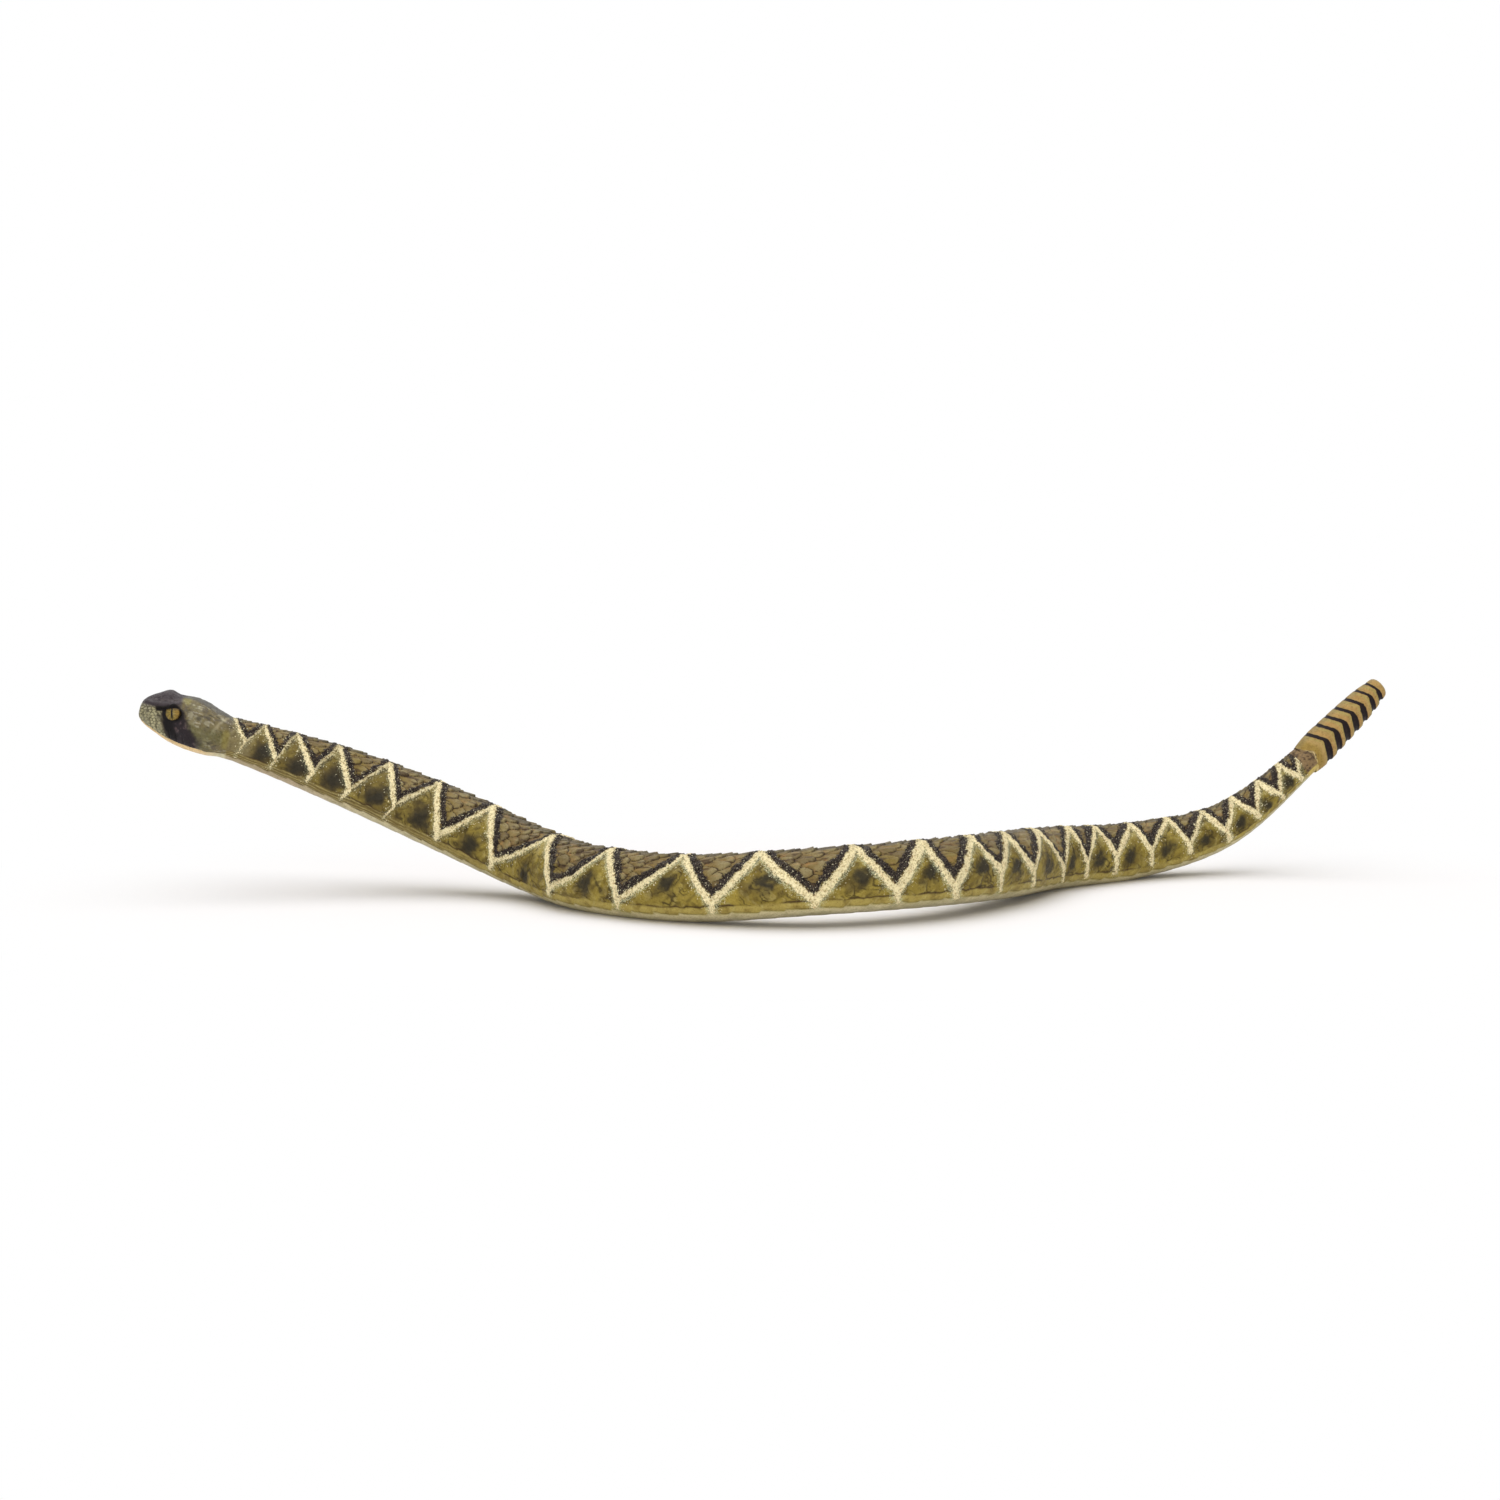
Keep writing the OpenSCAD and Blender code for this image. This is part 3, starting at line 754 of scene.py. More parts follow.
# Paler mottling on the crown, with a painted highlight in a band above the brow
crown_mottle_and_highlight = 0.4 * smooth(ripple + fine + bump(above_brow, 1.6, 0.6), 0.3, 1.2)
crown_tone = mixed(CROWN_DARK, CROWN_PALE_AND_HIGHLIGHT, crown_mottle_and_highlight)
nape_arc = bump(u - 0.035 * (drop - 15) + 0.4 * ripple, 3.2, 0.45)
nape_arc = nape_arc * smooth(drop, 8, 20) * fade(drop, 65, 85)
jaw = mixed(THROAT, JAW, smooth(u, 2, 9) * fade(drop, 165, 178))
head_tone = coats(
    TEMPLE,
    (TEMPLE_PALE, 0.6 * smooth(head_owner + 0.3 * fine, 0.62, 0.95)),
    (TEMPLE_OLIVE, 0.6 * smooth(wobble + 0.4 * streak, 0.0, 0.7)),
    (STREAK_PALE, 0.75 * smooth(streak + 0.4 * fine, 0.25, 0.8)),
    (STREAK_DARK, 0.75 * smooth(-streak + 0.4 * ripple, 0.25, 0.8)),
    (SMUDGE, 0.75 * fade(stroke((13.6, 0.6), (9.5, -2.6)), 0.6, 2.6) * (drop > 50)),
    (TEMPLE_BROWN, 0.6 * smooth(1 - head_owner + 0.3 * fine, 0.68, 0.95)),
    # Painted shade in the grooves between the head's small scales
    (TEMPLE_GROOVE_SHADE, 0.35 * fade(head_border, 0.03, 0.18)),
    (JAW_OLIVE, 0.6 * fade(stroke((12, 0.5), (4, 0.2)), 0.5, 2.8) * (drop > 60)),
    (MUSTARD, 0.7 * fade(stroke((2.2, 1.5), (1.6, -1.5)), 0.4, 1.8) * (drop > 45)),
    (CROWN_SPOT, 0.75 * fade(stroke((16.0, 7.4), (14.8, 7.6)), 0.4, 1.2) * (drop > 12)),
    (lip, front),
    (cheek, fade(stroke((16.4, 1.0), (11.9, -4.6)) + 0.5 * fine, 2.6, 4.0)),
    (EYE_BLACK, 0.9 * fade(stroke((18.8, 0.8), (16.6, -2.4)) + 0.3 * fine, 0.4, 2.4)),
    # Painted shade darkens the top of the head along its middle
    (CROWN_TOP_SHADE, 0.7 * fade(drop + 6 * ripple, 12, 26)),
    (crown_tone, crown_zone),
    (NAPE_ARC, 0.55 * nape_arc),
    # Painted shadow under the brow's edge in front of the eye
    (EYE_BLACK, 0.95 * fade(stroke((22.4, 3.3), (18.5, 4.6)), 0.2, 0.75) * (drop > 40)),
    (EYE_BLACK, fade(eye_edge + 0.12 * ripple, 1.2, 1.6)),
    # Painted shade inside the pit and the nostril
    (EYE_BLACK, 0.4 * pit),
    (EYE_BLACK, 0.4 * smooth(nostril, 0.3, 0.8)),
    (jaw, smooth(drop - seam, -1.5, 1.0)))

# Tail end: a brown patch with a cream border before the rattle
TAIL_BROWN = (136, 112, 78)
TAIL_DARK = (78, 62, 48)
TAIL_BORDER = (196, 172, 96)
tail_tone = mixed(TAIL_BROWN, TAIL_DARK, smooth(fine + grit, -0.3, 0.8))
patch = smooth(s + 0.3 * ripple, body_end - 4.4, body_end - 4.0)
paint = coats(
    paint,
    (head_tone, smooth(u, 0.6, 1.8)),
    (tail_tone, patch * fade(drop, 112, 120)),
    (TAIL_BORDER, patch * smooth(drop, 112, 120)))

# The strokes stop before the rattle and the head
NO_STROKE = 9
before_rattle = smooth(s, body_end - 3.8, body_end - 3.4)
cream = cream + NO_STROKE * before_rattle + NO_STROKE * smooth(u, 2.8, 4.0)
dark = dark + NO_STROKE * before_rattle + NO_STROKE * smooth(u, 1.2, 2.2)


# Materials
def linear(colour):
    """Display values from 0 to 255 as light."""
    value = np.clip(np.asarray(colour, float), 0, 255) / 255
    return np.where(value <= 0.04045, value / 12.92, ((value + 0.055) / 1.055) ** 2.4)


def shade(colour):
    return (*linear(colour), 1.0)


def principled(name, roughness, specular):
    material = bpy.data.materials.new(name)
    material.use_nodes = True
    tree = material.node_tree
    shader = tree.nodes["Principled BSDF"]
    shader.inputs["Roughness"].default_value = roughness
    shader.inputs["Specular IOR Level"].default_value = specular
    return material, tree, shader


def feed(tree, values, sockets):
    """Link or set each socket that values names."""
    for key, value in values.items():
        if isinstance(value, bpy.types.NodeSocket):
            tree.links.new(value, sockets[key])
        else:
            sockets[key].default_value = value


def node(tree, kind, inputs=None, **settings):
    made = tree.nodes.new("ShaderNode" + kind)
    for key, value in settings.items():
        setattr(made, key, value)
    feed(tree, inputs or {}, made.inputs)
    return made


def attribute(tree, name, output):
    return node(tree, "Attribute", attribute_name=name).outputs[output]


def object_place(tree):
    return node(tree, "TexCoord").outputs["Object"]


def noise(tree, place, scale, detail=3.0, roughness=0.6):
    settings = {"Vector": place, "Scale": scale, "Detail": detail, "Roughness": roughness}
    return node(tree, "TexNoise", settings).outputs["Fac"]


def ranged(tree, value, low, high, to_low=0.0, to_high=1.0):
    limits = {"Value": value, "From Min": low, "From Max": high, "To Min": to_low, "To Max": to_high}
    return node(tree, "MapRange", limits, interpolation_type="SMOOTHSTEP").outputs["Result"]


def combined(tree, operation, a, b):
    return node(tree, "Math", {0: a, 1: b}, operation=operation).outputs["Value"]


def colour_mix(tree, share, a, b, blend="MIX"):
    made = node(tree, "Mix", data_type="RGBA", blend_type=blend)
    feed(tree, {0: share, 6: a, 7: b}, made.inputs)
    return made.outputs[2]


def tinted(tree, share, colour, tint):
    """A colour with a share of it multiplied by a tint."""
    return colour_mix(tree, share, colour, colour_mix(tree, 1.0, colour, shade(tint), "MULTIPLY"))


def shader_mix(tree, share, a, b):
    return node(tree, "MixShader", {0: share, 1: a.outputs[0], 2: b.outputs[0]})


MOTTLE = (205, 195, 180)
SPECKLE = (140, 130, 118)
DARK_PAINT = (28, 21, 19)
DARK_PAINT_GLINT = (104, 92, 78)
CREAM_SHADED_SPECK = (180, 158, 106)
CREAM_LIT_SPECK = (248, 234, 188)
CREAM_WARM = (232, 192, 144)
BRISTLE = (198, 200, 162)
FLECK = (236, 226, 186)


def painted_vinyl(name, roughness, stroked):
    """Vinyl with sprayed and brushed paint, placed by attributes so that it moves with the skin."""
    material, tree, shader = principled(name, roughness, 0.13)

    def times(a, b):
        return combined(tree, "MULTIPLY", a, b)

    def plus(a, b):
        return combined(tree, "ADD", a, b)

    def centred(value):
        return combined(tree, "SUBTRACT", value, 0.5)

    rest = attribute(tree, "rest", "Vector")
    mottle = noise(tree, rest, 0.8)
    speckle = noise(tree, rest, 2.3, 2.0)
    grain = noise(tree, rest, 3.4, 2.0, 0.7)
    daub = noise(tree, rest, 1.7, 3.0, 0.75)
    colour = tinted(tree, ranged(tree, mottle, 0.4, 0.7, 0.0, 0.4), attribute(tree, "tone", "Color"), MOTTLE)
    colour = tinted(tree, ranged(tree, speckle, 0.5, 0.72, 0.0, 0.4), colour, SPECKLE)
    height = times(grain, 0.35)
    if stroked:
        # X and Y are the distances to the cream and the dark, Z is how much the cream frays
        place = node(tree, "SeparateXYZ", {0: attribute(tree, "strokes", "Vector")}).outputs
        ragged = plus(times(centred(speckle), 2.4), times(centred(mottle), 1.2))
        cream_edge = plus(place["X"], ragged)
        in_dark = ranged(tree, plus(place["Y"], ragged), 0.16, -0.16)
        in_cream = ranged(tree, cream_edge, 0.12, -0.12)
        bristle = times(ranged(tree, cream_edge, 1.3, 0.1), ranged(tree, grain, 0.44, 0.56))
        bristle = times(bristle, place["Z"])
        specks = ranged(tree, noise(tree, rest, 1.9, 1.0), 0.66, 0.7)
        fleck = times(specks, ranged(tree, place["X"], 2.6, 1.0))
        # Painted glints: lighter specks on the dark paint's grain
        dark_tone = colour_mix(tree, ranged(tree, grain, 0.5, 0.66), shade(DARK_PAINT), shade(DARK_PAINT_GLINT))
        # The cream's uneven tone, with painted shade and painted highlights on its grain
        cream_tone = colour_mix(tree, ranged(tree, daub, 0.34, 0.56), shade(CREAM_SHADED_SPECK), shade(CREAM_LIT_SPECK))
        warm = ranged(tree, mottle, 0.54, 0.7, 0.0, 0.3)
        cream_tone = colour_mix(tree, warm, cream_tone, shade(CREAM_WARM))
        colour = colour_mix(tree, in_dark, colour, dark_tone)
        colour = colour_mix(tree, times(bristle, 0.75), colour, shade(BRISTLE))
        colour = colour_mix(tree, times(fleck, 0.8), colour, shade(FLECK))
        colour = colour_mix(tree, times(in_cream, attribute(tree, "cover", "Fac")), colour, cream_tone)
        height = plus(height, times(times(grain, combined(tree, "MAXIMUM", in_dark, in_cream)), 1.3))
    relief = node(tree, "Bump", {"Height": height, "Strength": 0.6, "Distance": 0.0004})
    rough = ranged(tree, speckle, 0.3, 0.7, roughness - 0.08, roughness + 0.1)
    feed(tree, {"Base Color": colour, "Roughness": rough, "Normal": relief.outputs["Normal"]}, shader.inputs)
    return material


back_paint = painted_vinyl("back_paint", 0.5, True)
belly_paint = painted_vinyl("belly_paint", 0.46, True)
head_paint = painted_vinyl("head_paint", 0.48, True)
jaw_paint = painted_vinyl("jaw_paint", 0.46, False)
rattle_paint = painted_vinyl("rattle_paint", 0.5, False)


# Meshes
def placed(name, data):
    """A new object in the scene."""
    made = bpy.data.objects.new(name, data)
    bpy.context.scene.collection.objects.link(made)
    return made


def grid_object(name, points, material, tones, strokes=None, covers=None, normals=None, closed=False,
                fan=False):
    """A mesh from a grid of points in mm, with its paint as attributes; fan closes the first ring."""
    rows, columns = points.shape[:2]
    co = points.reshape(-1, 3)
    width = columns if closed else columns - 1
    i, j = np.meshgrid(np.arange(rows - 1), np.arange(width), indexing="ij")
    after = (j + 1) % columns
    here, beside = i * columns + j, i * columns + after
    quads = np.stack([here, beside, beside + columns, here + columns], -1)
    loops = quads.ravel()
    sizes = np.full((rows - 1) * width, 4)
    if fan:
        j = np.arange(width)
        triangles = np.stack([np.full(width, len(co)), (j + 1) % columns, j], -1)
        loops = np.r_[loops, triangles.ravel()]
        sizes = np.r_[sizes, np.full(width, 3)]

    def spread(values):
        """Values in the order of the mesh's points, with the fan's tip last."""
        flat = values.reshape(-1, values.shape[-1])
        return np.concatenate([flat, flat[:columns].mean(0, keepdims=True)]) if fan else flat

    co = spread(points)
    mesh = bpy.data.meshes.new(name)
    mesh.vertices.add(len(co))
    mesh.vertices.foreach_set("co", (co * MM).astype(np.float32).ravel())
    mesh.loops.add(len(loops))
    mesh.loops.foreach_set("vertex_index", loops.astype(np.int32))
    mesh.polygons.add(len(sizes))
    mesh.polygons.foreach_set("loop_start", np.r_[0, np.cumsum(sizes)[:-1]].astype(np.int32))
    mesh.update(calc_edges=True)
    mesh.polygons.foreach_set("use_smooth", np.ones(len(sizes), bool))

    def hold(attribute_name, kind, key, values):
        held = mesh.attributes.new(attribute_name, kind, "POINT")
        held.data.foreach_set(key, values.astype(np.float32).ravel())

    hold("tone", "FLOAT_COLOR", "color", np.concatenate([linear(spread(tones)), np.ones((len(co), 1))], 1))
    hold("rest", "FLOAT_VECTOR", "vector", co)
    if strokes is not None:
        hold("strokes", "FLOAT_VECTOR", "vector", spread(strokes))
        hold("cover", "FLOAT", "value", spread(covers[..., None]))
    if normals is not None:
        mesh.normals_split_custom_set_from_vertices(unit(spread(normals)).tolist())
    mesh.materials.append(material)
    return placed(name, mesh)


# The cream frays only on its flank side, and covers less on the neck's climbing arms
fringe = np.interp(s, *FRINGE) * smooth(-line, -0.2, 0.2) * (1 - on_head)
strokes = np.stack([cream, dark, fringe], -1)
covering = 1 - climb * np.interp(s, *COVER_LOST) * (drips > cream_half)


def skin_piece(name, top, end, columns, material, fan=False):
    """The part of the skin between two rings, over some of its columns."""
    rows = slice(top, end + 1)
    columns = columns[::facing]

    def cut(values):
        return values[rows][:, columns]

    return grid_object(name, cut(points), material, cut(paint), cut(strokes), cut(covering), cut(normal),
                       fan=fan)


back_columns = np.arange(BACK_COLUMNS + 1)
belly_columns = np.arange(BACK_COLUMNS, COLUMNS + 1) % COLUMNS
cut_ring = int(np.argmin(np.abs(all_u - HEAD_CUT)))
middle_rings = [first_body + (starts[k] + starts[k + 1]) // 2 for k in range(LENGTHS)]
cuts = [cut_ring, *middle_rings, len(all_u) - 1]

for name, columns, material, solid, slot in (
        ("head_skin", back_columns, head_paint, "head", "head_vinyl"),
        ("jaw_skin", belly_columns, jaw_paint, "lower_jaw", "jaw_vinyl")):
    piece = skin_piece(name, 0, cut_ring, columns, material, fan=True)
    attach(piece, "head")
    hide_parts(solid)


for k in range(LENGTHS + 1):
    top, end = cuts[k], cuts[k + 1]
    for name, columns, material, slot in (("back", back_columns, back_paint, "back_vinyl"),
                                          ("belly", belly_columns, belly_paint, "belly_vinyl")):
        piece = skin_piece(f"{name}_skin_at_bend_{k}", top, end, columns, material)
        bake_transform(piece)
        if k > 0:
            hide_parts(f"{name}_skin_{k}")

# Eyes
IRIS = (142, 120, 56)
IRIS_RAY = (104, 92, 48)
IRIS_WARM = (160, 124, 60)
IRIS_BROW_SHADOW = (70, 56, 28)
IRIS_RIM = (60, 46, 22)
PUPIL = (12, 10, 10)
EYE_TINT = (150, 130, 110)


def eye_object(name, way):
    """An eye bead with a slit pupil; way is -1 on the viewer's side and 1 on the other."""
    middle = head_point(EYE_U, way * EYE_OUT, EYE_V)
    axis = unit(HEAD_SIDE * way * 0.95 + HEAD_DIR * 0.14 + HEAD_UP * 0.12)
    tall = unit(HEAD_UP - axis * (HEAD_UP @ axis))
    lean = unit(tall * math.cos(EYE_TILT) + HEAD_DIR * math.sin(EYE_TILT))
    tall = unit(lean - axis * (lean @ axis))
    wide = np.cross(axis, tall) * -way
    polar = np.radians(np.linspace(0.8, 178, 90))
    around = np.radians(np.arange(0, 360, 3))
    p, a = np.meshgrid(polar, around, indexing="ij")
    bulge = EYE_R * (1 + 0.035 * np.exp(-(p / 0.55) ** 2))
    px = bulge * np.sin(p) * np.cos(a)
    py = bulge * np.sin(p) * np.sin(a)
    pz = bulge * np.cos(p)
    grid = middle + px[..., None] * wide + py[..., None] * tall + pz[..., None] * axis
    slit_half = 0.24 * np.sqrt(np.clip(1.05 - (py / 1.75) ** 2, 0.001, 1))
    tone = coats(
        IRIS,
        (IRIS_RAY, smooth(np.sin(9 * a) + np.sin(23 * a + 1), -0.6, 1.2)),
        (IRIS_WARM, smooth(-px, 0.1, 1.6) * 0.5),
        # Painted shadow of the brow over the top of the iris
        (IRIS_BROW_SHADOW, 0.7 * smooth(py, 0.5, 1.3)),
        (IRIS_RIM, smooth(np.hypot(px, py), 1.75, 2.05)),
        (PUPIL, smooth(-(np.abs(px) / slit_half), -1.12, -0.85) * (pz > 0)))
    order = slice(None, None, -way)
    return grid_object(name, grid[:, order], eye_gloss, tone[:, order], closed=True, fan=True)


eye_gloss, eye_tree, eye_shader = principled("eye_gloss", 0.36, 0.16)
eye_rest = attribute(eye_tree, "rest", "Vector")
eye_mottle = ranged(eye_tree, noise(eye_tree, eye_rest, 4.0), 0.4, 0.7, 0.0, 0.5)
eye_colour = tinted(eye_tree, eye_mottle, attribute(eye_tree, "tone", "Color"), EYE_TINT)
feed(eye_tree, {"Coat Weight": 0.05, "Coat Roughness": 0.2, "Base Color": eye_colour}, eye_shader.inputs)
for name, way in (("left_eye_bead", -1), ("right_eye_bead", 1)):
    eye = eye_object(name, way)
    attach(eye, "head")
    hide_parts(name.replace("_bead", ""))

# Rattle: height, width against height, the level on its side where its rings change their lean, and each
# groove's distance with its share of the height
RATTLE_H = 10.6
RATTLE_WIDTH_SHARE = 0.77
KNEE = 0.3
GROOVES = [(5.9, 1), (9.9, 0.97), (13.5, 0.94), (17.2, 0.91), (21, 0.86), (24.8, 0.79), (28, 0.66)]
RATTLE_START = -0.6
RATTLE_LENGTH = 30.8
RATTLE_TIP_DEPTH = 1.2
RATTLE_BASE = 0.88
RATTLE_RISE = 0.2
RATTLE_COLUMNS = 144
RATTLE_LEAN = ([0, 4, 16, 24, 27, RATTLE_LENGTH], [0, 1, 0.9, 0.72, 0.45, 0])
RATTLE_TAN = (172, 144, 88)
RATTLE_WARM = (170, 136, 82)
RATTLE_GREEN = (158, 148, 84)
RATTLE_ORANGE = (178, 134, 78)
RATTLE_MUSTARD = (146, 120, 54)
RATTLE_TOP_SHADE = (140, 126, 88)
RATTLE_GRIME = (120, 96, 50)
SLEEVE_BROWN = (132, 110, 78)
SLEEVE_DARK = (80, 64, 50)
SLEEVE_BORDER = (186, 162, 92)
RATTLE_BORDER = (222, 200, 140)
GROOVE_BLACK = (28, 19, 19)
GROOVE_MIDDLE_BROWN = (62, 50, 46)


def rattle_grid():
    """Points and tones of the rattle's stepped rings."""
    tip_start = RATTLE_LENGTH - RATTLE_TIP_DEPTH
    steps = np.r_[np.linspace(RATTLE_START, tip_start, 360),
                  tip_start + RATTLE_TIP_DEPTH * np.sin(np.linspace(0.1, 1.53, 14))]
    around = np.radians(np.arange(RATTLE_COLUMNS) * 360 / RATTLE_COLUMNS)
    t, a = np.meshgrid(steps, around, indexing="ij")
    below = smooth(-np.sin(a), -0.15, 0.25)
    at = np.array([g[0] for g in GROOVES])
    share = np.interp(t, np.r_[-1, 0.6, at, tip_start, RATTLE_LENGTH],
                      np.r_[RATTLE_BASE, RATTLE_BASE + 0.04, [g[1] for g in GROOVES], 0.6, 0.56])
    tip = np.sqrt(np.clip(1 - (np.clip(t - RATTLE_LENGTH + RATTLE_TIP_DEPTH, 0, None) / 1.22) ** 2, 0, 1))
    tip = 0.35 + 0.65 * tip
    off = t - at[np.argmin(np.abs(t[..., None] - at), -1)]
    half = between(0.5, 1.0, smooth(-np.sin(a), -0.45, 0.1)) * np.interp(t, [0, 20, 30], [1, 0.95, 0.6])
    groove = fade(np.abs(off), half * 0.55, half * 1.25)
    before = np.searchsorted(at, t.ravel()).reshape(t.shape)
    edges = np.r_[RATTLE_START, at, RATTLE_LENGTH]
    part = (t - edges[before]) / (edges[before + 1] - edges[before])
    belly_of_ring = np.sin(np.pi * np.clip(part, 0, 1)) ** 0.6
    jog = bump(np.abs(np.sin(a) - 0.08), 0, 0.16)
    depth = groove * (0.07 + 0.33 * below) + 0.14 * jog * belly_of_ring
    reach = RATTLE_H * share / 2 * tip + 0.06 * belly_of_ring - depth
    # Rings and the sleeve's edge lean one way above the knee and the other way below it
    above = np.sin(a) - KNEE
    rounded = np.sqrt(above ** 2 + 0.012)
    sweep = np.interp(t, *RATTLE_LEAN) * (1.0 - 3.3 * (rounded + above) / 2 - 2.0 * (rounded - above) / 2)
    start = 1.9 - 3.5 * (rounded + above) / 2 - 1.6 * (rounded - above) / 2
    way = unit(RATTLE_TIP[:3] - station(LENGTHS)[:3])
    aside = side_of(way)
    upward = np.cross(way, aside)
    grid = (station(LENGTHS)[:3] + (t / RATTLE_LENGTH * RATTLE_RISE)[..., None] * upward
            + way * (t + sweep)[..., None] + aside * (reach * RATTLE_WIDTH_SHARE * np.cos(a))[..., None]
            + upward * (reach * np.sin(a))[..., None])
    rough = lumps(grid, 1.4, 81)
    fine_rough = lumps(grid, 0.5, 82)
    edge = t - start + 0.3 * fine_rough
    sleeve = coats(
        SLEEVE_BROWN,
        (SLEEVE_DARK, smooth(fine_rough + 0.5 * rough, -0.3, 0.6)),
        (SLEEVE_BORDER, smooth(-np.sin(a), 0.55, 0.75)))
    painted = fade(np.abs(off) + 0.12 * fine_rough, half * 1.0, half * 1.3)
    tone = coats(
        RATTLE_TAN,
        (RATTLE_WARM, smooth(rough, 0, 0.8)),
        (RATTLE_GREEN, 0.6 * bump(off, -1.1, 0.35)),
        (RATTLE_ORANGE, 0.4 * bump(off, 1.2, 0.5)),
        (RATTLE_MUSTARD, smooth(-t, -4.0, -2.5) * 0.7),
        # Painted shade on the top of the rattle
        (RATTLE_TOP_SHADE, 0.5 * smooth(np.sin(a), 0.8, 1.0)),
        (RATTLE_GRIME, 0.35 * smooth(fine_rough, 0.3, 0.9)),
        (sleeve, smooth(start - t + 0.3 * fine_rough, -0.1, 0.1)),
        (RATTLE_BORDER, 0.9 * bump(edge, -0.1, 0.2) * smooth(-np.sin(a), -0.75, -0.5)),
        (GROOVE_BLACK, painted),
        # A lighter brown middle in the grooves on the lower side
        (GROOVE_MIDDLE_BROWN, 0.5 * painted * bump(off / half, 0, 0.4) * smooth(fine_rough, -0.2, 0.6) * below))
    return grid, tone


rattle_points, rattle_tone = rattle_grid()
rattle = grid_object("rattle_shell", rattle_points[::-1], rattle_paint, rattle_tone[::-1], closed=True,
                     fan=True)
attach(rattle, "rattle")
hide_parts("rattle")


# Wire and caps inside are the CAD nodes themselves
def grained(name, roughness, specular, scale, detail, dark, light):
    """A material with a fine grain between two tones."""
    material, tree, shader = principled(name, roughness, specular)
    grain = noise(tree, object_place(tree), scale, detail)
    feed(tree, {"Base Color": colour_mix(tree, grain, shade(dark), shade(light))}, shader.inputs)
    return material, tree, shader, grain


STEEL_DARK = (150, 150, 152)
STEEL_LIGHT = (196, 194, 190)
RUBBER_DARK = (40, 40, 42)
RUBBER_LIGHT = (72, 70, 70)
steel, steel_tree, steel_shader, drawn = grained("wire_steel", 0.35, 0.5, 900.0, 4.0, STEEL_DARK,
                                                 STEEL_LIGHT)
steel_rough = ranged(steel_tree, drawn, 0.3, 0.7, 0.28, 0.5)
feed(steel_tree, {"Metallic": 1.0, "Roughness": steel_rough}, steel_shader.inputs)
rubber = grained("cap_rubber", 0.7, 0.3, 1500.0, 3.0, RUBBER_DARK, RUBBER_LIGHT)[0]
for name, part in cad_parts.items():
    if "wire" in name:
        part.data.materials.clear()
        part.data.materials.append(rubber if name.endswith("cap") else steel)


# Floor and background: white where a camera looks straight at them, apart from the shadow near the toy
def straight_look(tree):
    """1 for camera, glossy and transmission rays."""
    rays = node(tree, "LightPath").outputs
    mirrored = combined(tree, "MAXIMUM", rays["Is Glossy Ray"], rays["Is Transmission Ray"])
    return combined(tree, "MAXIMUM", rays["Is Camera Ray"], mirrored)


FLOOR_HALF = 6.0
SHADOW_MIDDLE = (0.05, 0.03, 0)
SHADOW_STRETCH = (1.0, 1.5, 1.0)
SHADOW_FADE = (0.12, 0.26)
FLOOR_WHITE = (0.9, 0.9, 0.9, 1)
PAPER_WHITE = (0.885, 0.865, 0.86, 1)
floor_mesh = bpy.data.meshes.new("floor")
floor_corners = [(FLOOR_HALF * x, FLOOR_HALF * y, 0) for x, y in ((-1, -1), (1, -1), (1, 1), (-1, 1))]
floor_mesh.from_pydata(floor_corners, [], [(0, 1, 2, 3)])
floor = placed("floor", floor_mesh)
floor_material, floor_tree, floor_shader = principled("floor_white", 0.9, 0.0)
floor_shader.inputs["Base Color"].default_value = FLOOR_WHITE
glow = node(floor_tree, "Emission", {"Strength": 1.0})
paper = node(floor_tree, "BsdfDiffuse", {"Color": PAPER_WHITE})
moved = node(floor_tree, "VectorMath", {0: object_place(floor_tree), 1: SHADOW_MIDDLE}, operation="SUBTRACT")
stretched = node(floor_tree, "VectorMath", {0: moved.outputs[0], 1: SHADOW_STRETCH}, operation="MULTIPLY")
away = node(floor_tree, "VectorMath", {0: stretched.outputs[0]}, operation="LENGTH").outputs["Value"]
seen = shader_mix(floor_tree, ranged(floor_tree, away, *SHADOW_FADE), paper, glow)
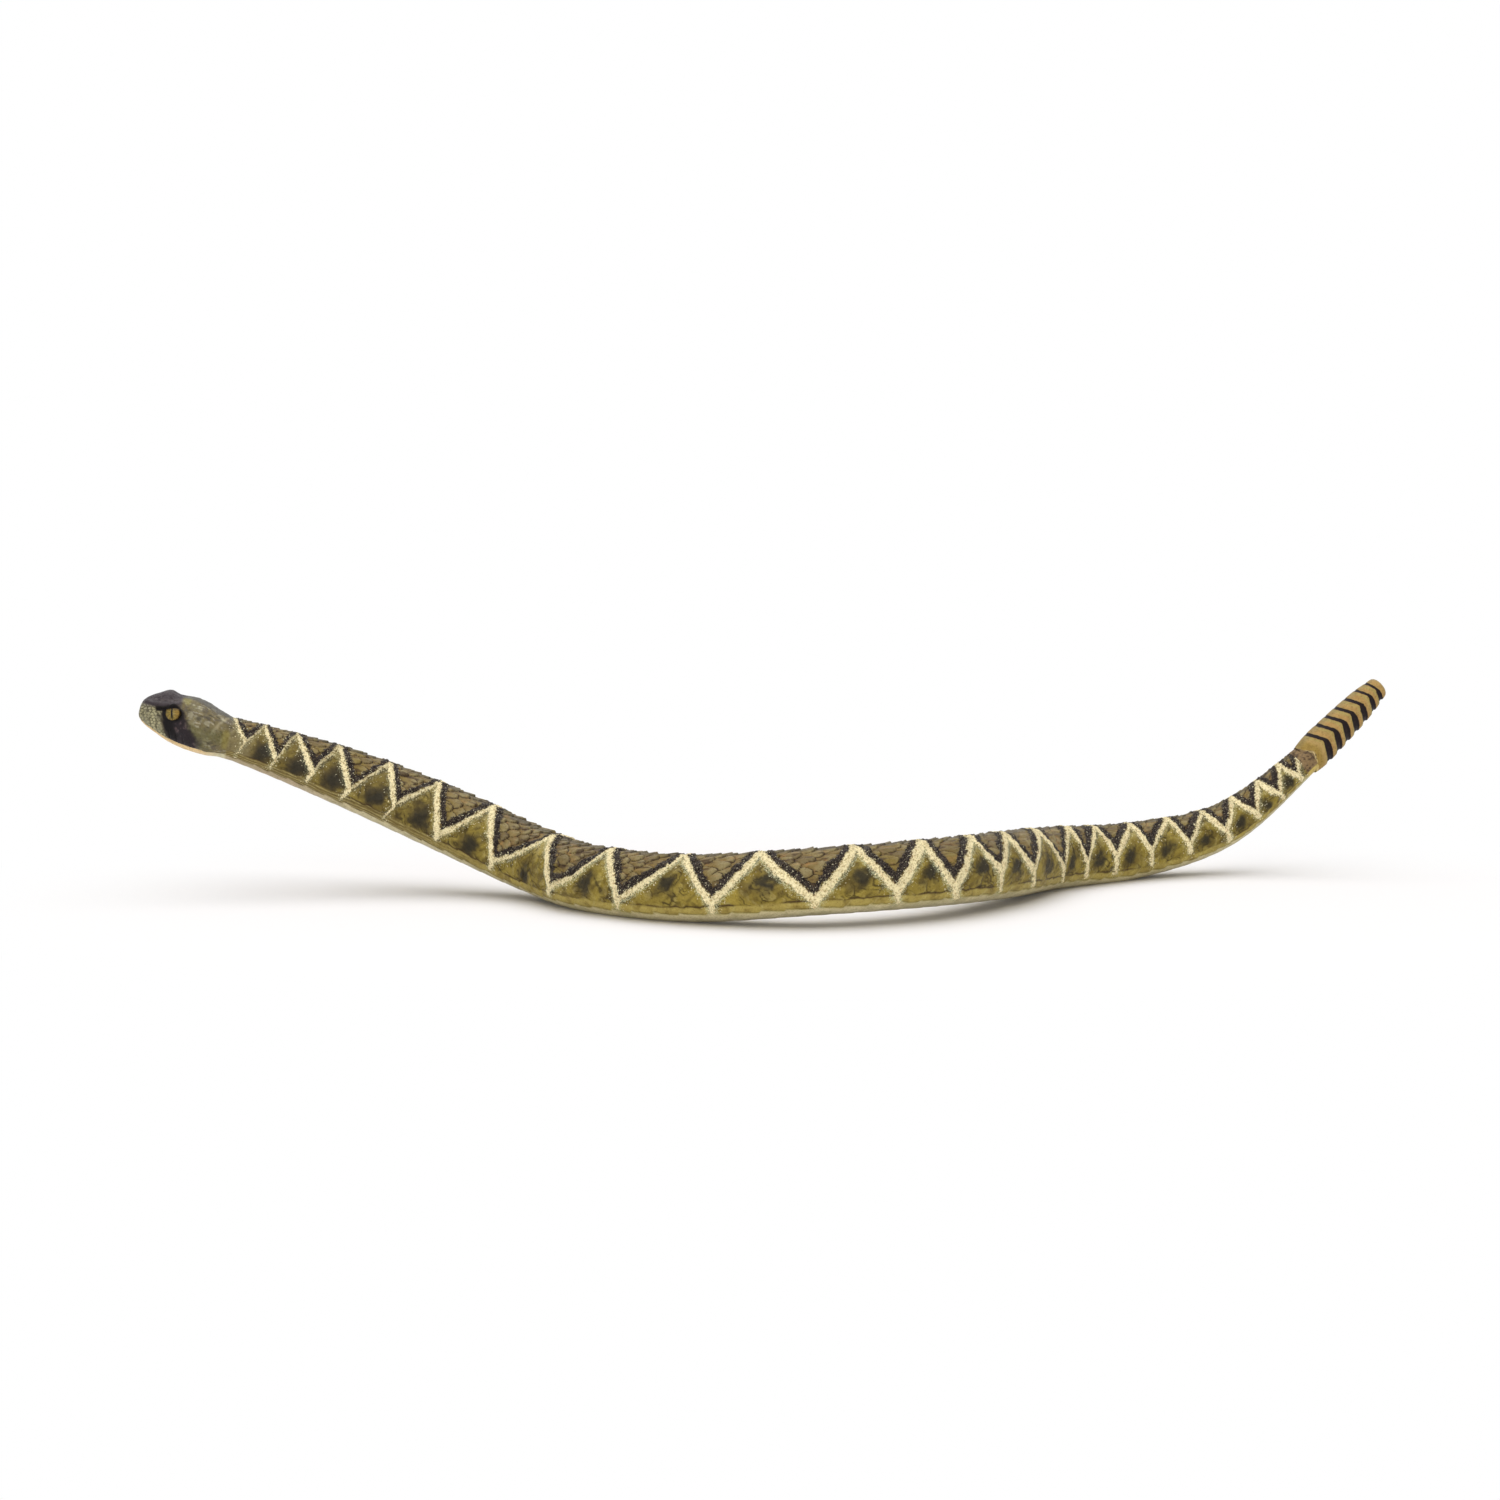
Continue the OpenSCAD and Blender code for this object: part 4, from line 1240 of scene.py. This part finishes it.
both = shader_mix(floor_tree, straight_look(floor_tree), floor_shader, seen)
floor_tree.links.new(both.outputs[0], floor_tree.nodes["Material Output"].inputs["Surface"])
floor_mesh.materials.append(floor_material)

# The room gets lighter towards +Y, behind the toy
ROOM_SPAN = (-0.3, 0.6)
ROOM_LIGHT = (0.14, 0.5)
WHITE = (1, 1, 1, 1)
world = bpy.data.worlds.new("studio")
bpy.context.scene.world = world
world.use_nodes = True
sky = world.node_tree
sky.nodes.clear()
sky_place = node(sky, "SeparateXYZ", {0: node(sky, "TexCoord").outputs["Generated"]})
room_strength = ranged(sky, sky_place.outputs["Y"], *ROOM_SPAN, *ROOM_LIGHT)
room = node(sky, "Background", {"Color": WHITE, "Strength": room_strength})
white = node(sky, "Background", {"Color": WHITE, "Strength": 1.0})
sky_mix = shader_mix(sky, straight_look(sky), room, white)
sky.links.new(sky_mix.outputs[0], node(sky, "OutputWorld").inputs["Surface"])


def lamp(name, place, aim, width, height, power_watts):
    """A soft rectangular lamp that looks at a point."""
    data = bpy.data.lights.new(name, "AREA")
    data.shape = "RECTANGLE"
    data.size = width
    data.size_y = height
    data.energy = power_watts
    made = placed(name, data)
    made.location = place
    made.rotation_euler = (Vector(aim) - Vector(place)).to_track_quat("-Z", "Y").to_euler()


lamp("top_lamp", (0.05, 0.02, 1.25), (0.05, 0.04, 0), 1.8, 2.2, 23)
lamp("front_lamp", (-0.15, -2.0, 0.19), (0.05, 0, 0.02), 1.4, 0.34, 17)
lamp("high_front_lamp", (-0.1, -1.5, 0.9), (0.05, 0, 0.02), 0.5, 0.4, 2)

# Camera at the photograph's viewing angle
CAMERA_PLACE = (29.28 * MM, -1392.78 * MM, 194.84 * MM)
CAMERA_PITCH = 6.157
camera_data = bpy.data.cameras.new("camera")
camera_data.sensor_width = 36
camera_data.lens = 126.79
camera = placed("camera", camera_data)
camera.location = CAMERA_PLACE
camera.rotation_euler = (math.radians(90 - CAMERA_PITCH), 0, 0)
bpy.context.scene.camera = camera
bpy.context.scene.view_settings.view_transform = "Standard"
